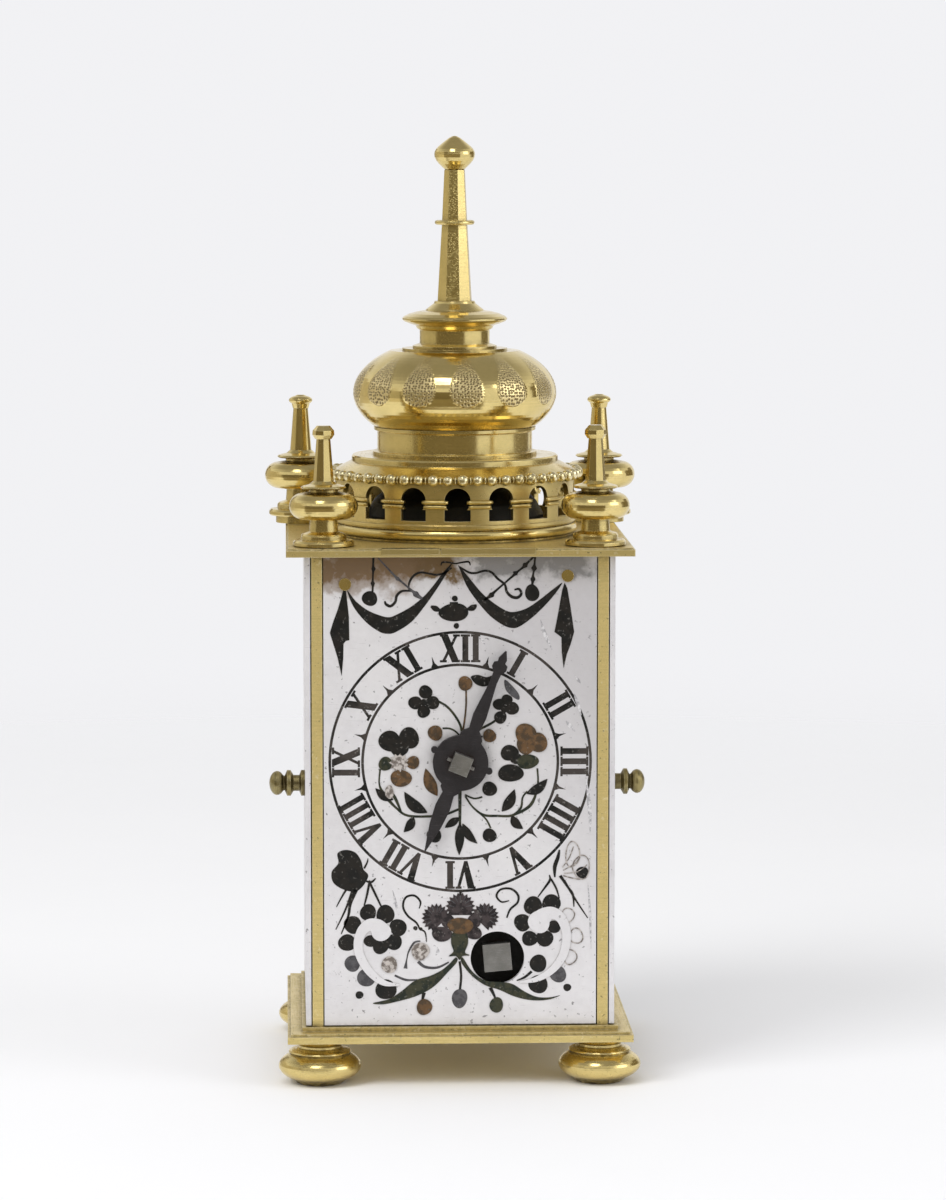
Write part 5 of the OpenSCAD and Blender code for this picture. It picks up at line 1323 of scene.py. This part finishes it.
class CLOCK_OT_gilding(bpy.types.Operator):
    """Gives the case, finials, gallery and roof their gilding"""
    bl_idname = "clock.gilding"
    bl_label = "Gilding"

    def execute(self, context):
        look = settings()[1]
        # Painted light on the plates and posts: strong edge wear also paints highlights along their edges,
        # and strong corner grime also paints shade in their joints.
        plate = gilt_finish("Gilt Brass, Plates", look.gilt, 0.3, turned=False, grime_and_shade=1.0, wear_and_highlight=1.4,
                            scratches=0.22, metallic=0.8)
        add_wear_specks(plate)
        assign(plate.done(edge=0.00018), "base_plate", "top_plate")
        post = gilt_finish("Gilt Brass, Posts", look.gilt, 0.36, turned=False, grime_and_shade=1.5, wear_and_highlight=1.2,
                           scratches=0.25, metallic=0.6)
        add_wear_specks(post)
        assign(post.done(edge=0.00015), "post_front_left", "post_front_right",
               "post_back_left", "post_back_right", "dial_bracket")
        turned = gilt_finish("Gilt Brass, Turned", look.gilt, 0.12, grime_and_shade=0.8).done(edge=0.00008)
        assign(turned, "finial_front_left", "finial_front_right", "finial_back_left",
               "finial_back_right", "neck", "spire_knob", "drum", "gallery_ring", "lid", "dial_rivets")
        assign(gilt_gallery(), "gallery")
        assign(dome_finish(), "dome")
        assign(spire_finish(), "spire")
        foot = gilt_finish("Gilt Brass, Feet", look.gilt, 0.16, grime_and_shade=1.0).done(edge=0.00008)
        assign(foot, "foot_front_left", "foot_front_right", "foot_back_left", "foot_back_right")
        knob = gilt_finish("Dark Brass, Knobs", (0.20, 0.175, 0.10), 0.3, turned=False,
                           grime_and_shade=1.5).done(edge=0.00008)
        assign(knob, "side_knob_left", "side_knob_right")
        return {"FINISHED"}


class CLOCK_OT_silvering(bpy.types.Operator):
    """Gives the dial plate, back plate and doors their silver"""
    bl_idname = "clock.silvering"
    bl_label = "Silvering"

    def execute(self, context):
        assign(plate_silver(), "dial_plate")
        # Painted shade: the back plate and doors take about twice the dial's dull tone, which is tarnish
        # with shade painted on the side faces.
        side = silver_finish("Silver, Sides With Painted Shade", 0.46, 0.5).done(edge=0.00012)
        assign(side, "back_plate", "door_left", "door_right")
        assign(enamel("Ring Enamel"), "dial_enamel")
        return {"FINISHED"}


class CLOCK_OT_steelwork(bpy.types.Operator):
    """Gives the hand, arbors, bell, hammer and springs their iron and steel"""
    bl_idname = "clock.steelwork"
    bl_label = "Iron and Steel"

    def execute(self, context):
        look = settings()[1]
        assign(steel_finish("Iron, Hand", look.iron, 0.42, 0.5, 0.3).done(edge=0.00018), "hour_hand")
        assign(steel_finish("Steel, Squares", look.steel, 0.33, 0.9, 0.6).done(edge=0.00015),
               "hour_arbor", "winding_arbor", "hand_pin")
        # Painted shade: the ratchet wheel seen through the winding hole is steel painted nearly black, as
        # the dark inside the hole.
        assign(steel_finish("Steel, Painted Shade In Winding Hole", (0.035, 0.033, 0.03), 0.6, 0.6, 0.8).done(),
               "ratchet_wheel")
        assign(steel_finish("Bell Metal", (0.045, 0.045, 0.040), 0.38, 0.8, 0.4).done(edge=0.00015),
               "bell")
        assign(steel_finish("Steel, Movement", (0.30, 0.30, 0.30), 0.35, 0.9, 0.4).done(edge=0.00008),
               "tie_rod", "tie_nut", "click", "click_spring", "mainspring", "verge", "hammer",
               "hammer_stop", "hammer_spring", "screws")
        return {"FINISHED"}


class CLOCK_OT_movement(bpy.types.Operator):
    """Gives the wheels, barrel, bars and pillars their brass"""
    bl_idname = "clock.movement"
    bl_label = "Movement"

    def execute(self, context):
        brass = gilt_finish("Movement Brass", (0.66, 0.50, 0.22), 0.32, turned=False,
                            grime_and_shade=0.9).done(edge=0.00006)
        assign(brass, "hour_wheel", "idler_wheel", "barrel", "great_wheel", "second_arbor",
               "third_arbor", "fourth_arbor", "crown_wheel", "potence", "balance_cock",
               "back_bar", "pillars")
        # Painted shade: the front bar is movement brass painted nearly black, as the shade behind the dial
        # plate.
        front = gilt_finish("Brass In Painted Shade, Front Bar", (0.075, 0.058, 0.03), 0.5, turned=False,
                            grime_and_shade=1.2).done(edge=0.00006)
        assign(front, "front_bar")
        return {"FINISHED"}


# Millimetres
CAMERA_PLACE = (-22.5, -638.0, 127.5)
CAMERA_AIM = (1.65, -20.1, 63.5)
FLOOR_COLOUR = (0.93, 0.93, 0.945)
FLOOR_RADIUS = 0.6
FLAG_RADIUS = 0.75
FLAG_DARKER = 0.75
FLAG_BROWN = (0.26, 0.215, 0.13)
FLAG_GREY = (0.72, 0.66, 0.53)
# Start and end in degrees, top and how near the cloth lies to the clock in metres, and its colour
FLAGS = [(-66, 31, 0.36, 0.11, FLAG_BROWN), (-150, -66, 0.36, 0.3, FLAG_GREY),
         (96, 140, 0.40, 0.7, FLAG_BROWN), (200, 210, 0.40, 0.7, FLAG_BROWN)]


def aim_at(thing, target):
    """Turns a light or camera so that it faces a point."""
    direction = Vector(target) - thing.location
    thing.rotation_euler = direction.to_track_quat("-Z", "Y").to_euler()


def soft_light(name, place, target, size, power):
    """A square soft box."""
    lamp = bpy.data.lights.new(name, "AREA")
    lamp.shape = "RECTANGLE"
    lamp.size = size[0]
    lamp.size_y = size[1]
    lamp.energy = power
    holder = bpy.data.objects.new(name, lamp)
    bpy.context.scene.collection.objects.link(holder)
    holder.location = place
    aim_at(holder, target)
    return holder


def floor_disc(radius):
    """A round floor whose far part fades into the backdrop."""
    work = bmesh.new()
    bmesh.ops.create_circle(work, cap_ends=True, segments=96, radius=radius)
    return piece_from("studio_floor", work)


def floor_material(colour):
    """Matt pale floor with a faint mottle; it turns clear towards its rim."""
    finish = Finish("Studio Floor", colour, 0.0, 0.8)
    tree = finish.tree
    mottle = effect(tree, "Cloudy Tone", (-2, 0), Size=60.0, Contrast=0.4)
    finish.tint((mottle, 0), tuple(c * 0.985 for c in colour), 1.0)
    where = node(tree, "TexCoord", (2, 5))
    far = node(tree, "VectorMath", (3, 5), operation="LENGTH")
    wire(tree, where, "Object", far, 0)
    fade = node(tree, "MapRange", (4, 5), interpolation_type="SMOOTHSTEP", in_1=0.16, in_2=0.46,
                in_3=1.0, in_4=0.0)
    wire(tree, far, "Value", fade, "Value")
    wire(tree, fade, 0, finish.shader, "Alpha")
    return finish.done()


def flag_screen(name, start, end, high, near):
    """A toned curved screen and floor cloth that only reflections show, as a photographer's flag."""
    work = bmesh.new()
    columns = []
    for step in range(13):
        turn = math.radians(start + (end - start) * step / 12)
        x, y = math.sin(turn), -math.cos(turn)
        columns.append([work.verts.new((x * reach, y * reach, z)) for reach, z in
                        ((near, 0.002), (FLAG_RADIUS, 0.002), (FLAG_RADIUS, high))])
    for first, second in zip(columns, columns[1:]):
        for row in (0, 1):
            work.faces.new((first[row], second[row], second[row + 1], first[row + 1]))
    return piece_from(name, work)


class CLOCK_OT_studio(bpy.types.Operator):
    """Sets up the floor, backdrop, soft lights, flags and camera"""
    bl_idname = "clock.studio"
    bl_label = "Studio"

    def execute(self, context):
        studio = settings()[2]
        scene = context.scene
        scene.view_settings.view_transform = "Standard"
        floor = floor_disc(FLOOR_RADIUS)
        floor.data.materials.append(floor_material(FLOOR_COLOUR))
        for index, (*shape, colour) in enumerate(FLAGS):
            screen = flag_screen(f"flag_{index}", *shape)
            cloth = Finish(f"Flag Cloth {index + 1}", colour, 0.0, 0.9)
            weave = effect(cloth.tree, "Cloudy Tone", (-2, 0), Size=40.0, Contrast=0.4)
            cloth.tint((weave, 0), tuple(c * FLAG_DARKER for c in colour), 1.0)
            screen.data.materials.append(cloth.done())
            screen.visible_camera = False
            screen.visible_diffuse = False
            screen.visible_shadow = False
        key = soft_light("Key Light", (-0.62, -0.55, 0.75), (0, 0, 0.06), (0.55, 0.45), studio.key_power)
        key.visible_glossy = False
        soft_light("Fill Light", (0.8, -0.35, 0.45), (0, 0, 0.06), (0.5, 0.6), studio.fill_power)
        soft_light("Top Light", (-0.18, -0.50, 0.94), (0, 0, 0.08), (0.34, 0.30), 1.2)
        self.light_room(scene, studio)
        lens = bpy.data.cameras.new("Camera")
        lens.lens = studio.lens
        lens.sensor_width = 36
        lens.clip_start = 0.01
        lens.clip_end = 20
        camera = bpy.data.objects.new("Camera", lens)
        scene.collection.objects.link(camera)
        camera.location = [c * MM for c in CAMERA_PLACE]
        aim_at(camera, [c * MM for c in CAMERA_AIM])
        scene.camera = camera
        return {"FINISHED"}

    def light_room(self, scene, studio):
        """A pale room: plain to the camera, darker overhead where only the metal sees it."""
        world = bpy.data.worlds.new("Pale Room")
        scene.world = world
        world.use_nodes = True
        tree = world.node_tree
        tree.nodes.clear()
        where = node(tree, "TexCoord", (-4, 1))
        split = node(tree, "SeparateXYZ", (-3, 1))
        wire(tree, where, "Generated", split, 0)
        up = node(tree, "MapRange", (-2, 1), interpolation_type="SMOOTHSTEP", in_1=0.35, in_2=0.85)
        wire(tree, split, "Z", up, "Value")
        shade = node(tree, "Mix", (-1, 1), data_type="RGBA")
        shade.inputs[6].default_value = (*studio.backdrop, 1)
        shade.inputs[7].default_value = (0.34, 0.33, 0.32, 1)
        wire(tree, up, 0, shade, 0)
        seen = node(tree, "Background", (0, 1))
        wire(tree, shade, 2, seen, 0)
        lit = node(tree, "Background", (0, 2), in_0=(1, 1, 1, 1), in_1=studio.ambient)
        path = node(tree, "LightPath", (-3, -2))
        camera_or_gloss = math_node(tree, (-1, -2), "MAXIMUM",
                                    (path, "Is Camera Ray"), (path, "Is Glossy Ray"))
        any_seen = math_node(tree, (0, -2), "MAXIMUM", (camera_or_gloss, 0), (path, "Is Transmission Ray"))
        choose = node(tree, "MixShader", (1, 1))
        wire(tree, any_seen, 0, choose, 0)
        wire(tree, lit, 0, choose, 1)
        wire(tree, seen, 0, choose, 2)
        out = node(tree, "OutputWorld", (2, 1))
        wire(tree, choose, 0, out, 0)


class CLOCK_PT_sidebar(bpy.types.Panel):
    """Lists the steps that dress the clock and their settings"""
    bl_idname = "CLOCK_PT_sidebar"
    bl_label = "Lantern Clock"
    bl_space_type = "VIEW_3D"
    bl_region_type = "UI"
    bl_category = "Clock"

    def draw(self, context):
        layout = self.layout
        for group in settings():
            column = layout.column(align=True)
            for key in group.__annotations__:
                column.prop(group, key)
        for step in STEPS:
            layout.operator(f"clock.{step}")


STEPS = ("gilding", "silvering", "steelwork", "movement", "swags", "spray", "scrolls",
         "beads", "capitals", "edge_strip", "studio")
CLASSES = (
    ClockOrnamentSettings, ClockFinishSettings, ClockStudioSettings,
    CLOCK_OT_gilding, CLOCK_OT_silvering, CLOCK_OT_steelwork, CLOCK_OT_movement,
    CLOCK_OT_swags, CLOCK_OT_spray, CLOCK_OT_scrolls, CLOCK_OT_beads, CLOCK_OT_capitals,
    CLOCK_OT_edge_strip, CLOCK_OT_studio, CLOCK_PT_sidebar,
)


def register():
    for part in CLASSES:
        bpy.utils.register_class(part)
    bpy.types.Scene.clock_ornament = PointerProperty(type=ClockOrnamentSettings)
    bpy.types.Scene.clock_finish = PointerProperty(type=ClockFinishSettings)
    bpy.types.Scene.clock_studio = PointerProperty(type=ClockStudioSettings)


def unregister():
    del bpy.types.Scene.clock_studio
    del bpy.types.Scene.clock_finish
    del bpy.types.Scene.clock_ornament
    for part in reversed(CLASSES):
        bpy.utils.unregister_class(part)


def main():
    register()
    for step in STEPS:
        getattr(bpy.ops.clock, step)()


if __name__ == "__main__":
    main()
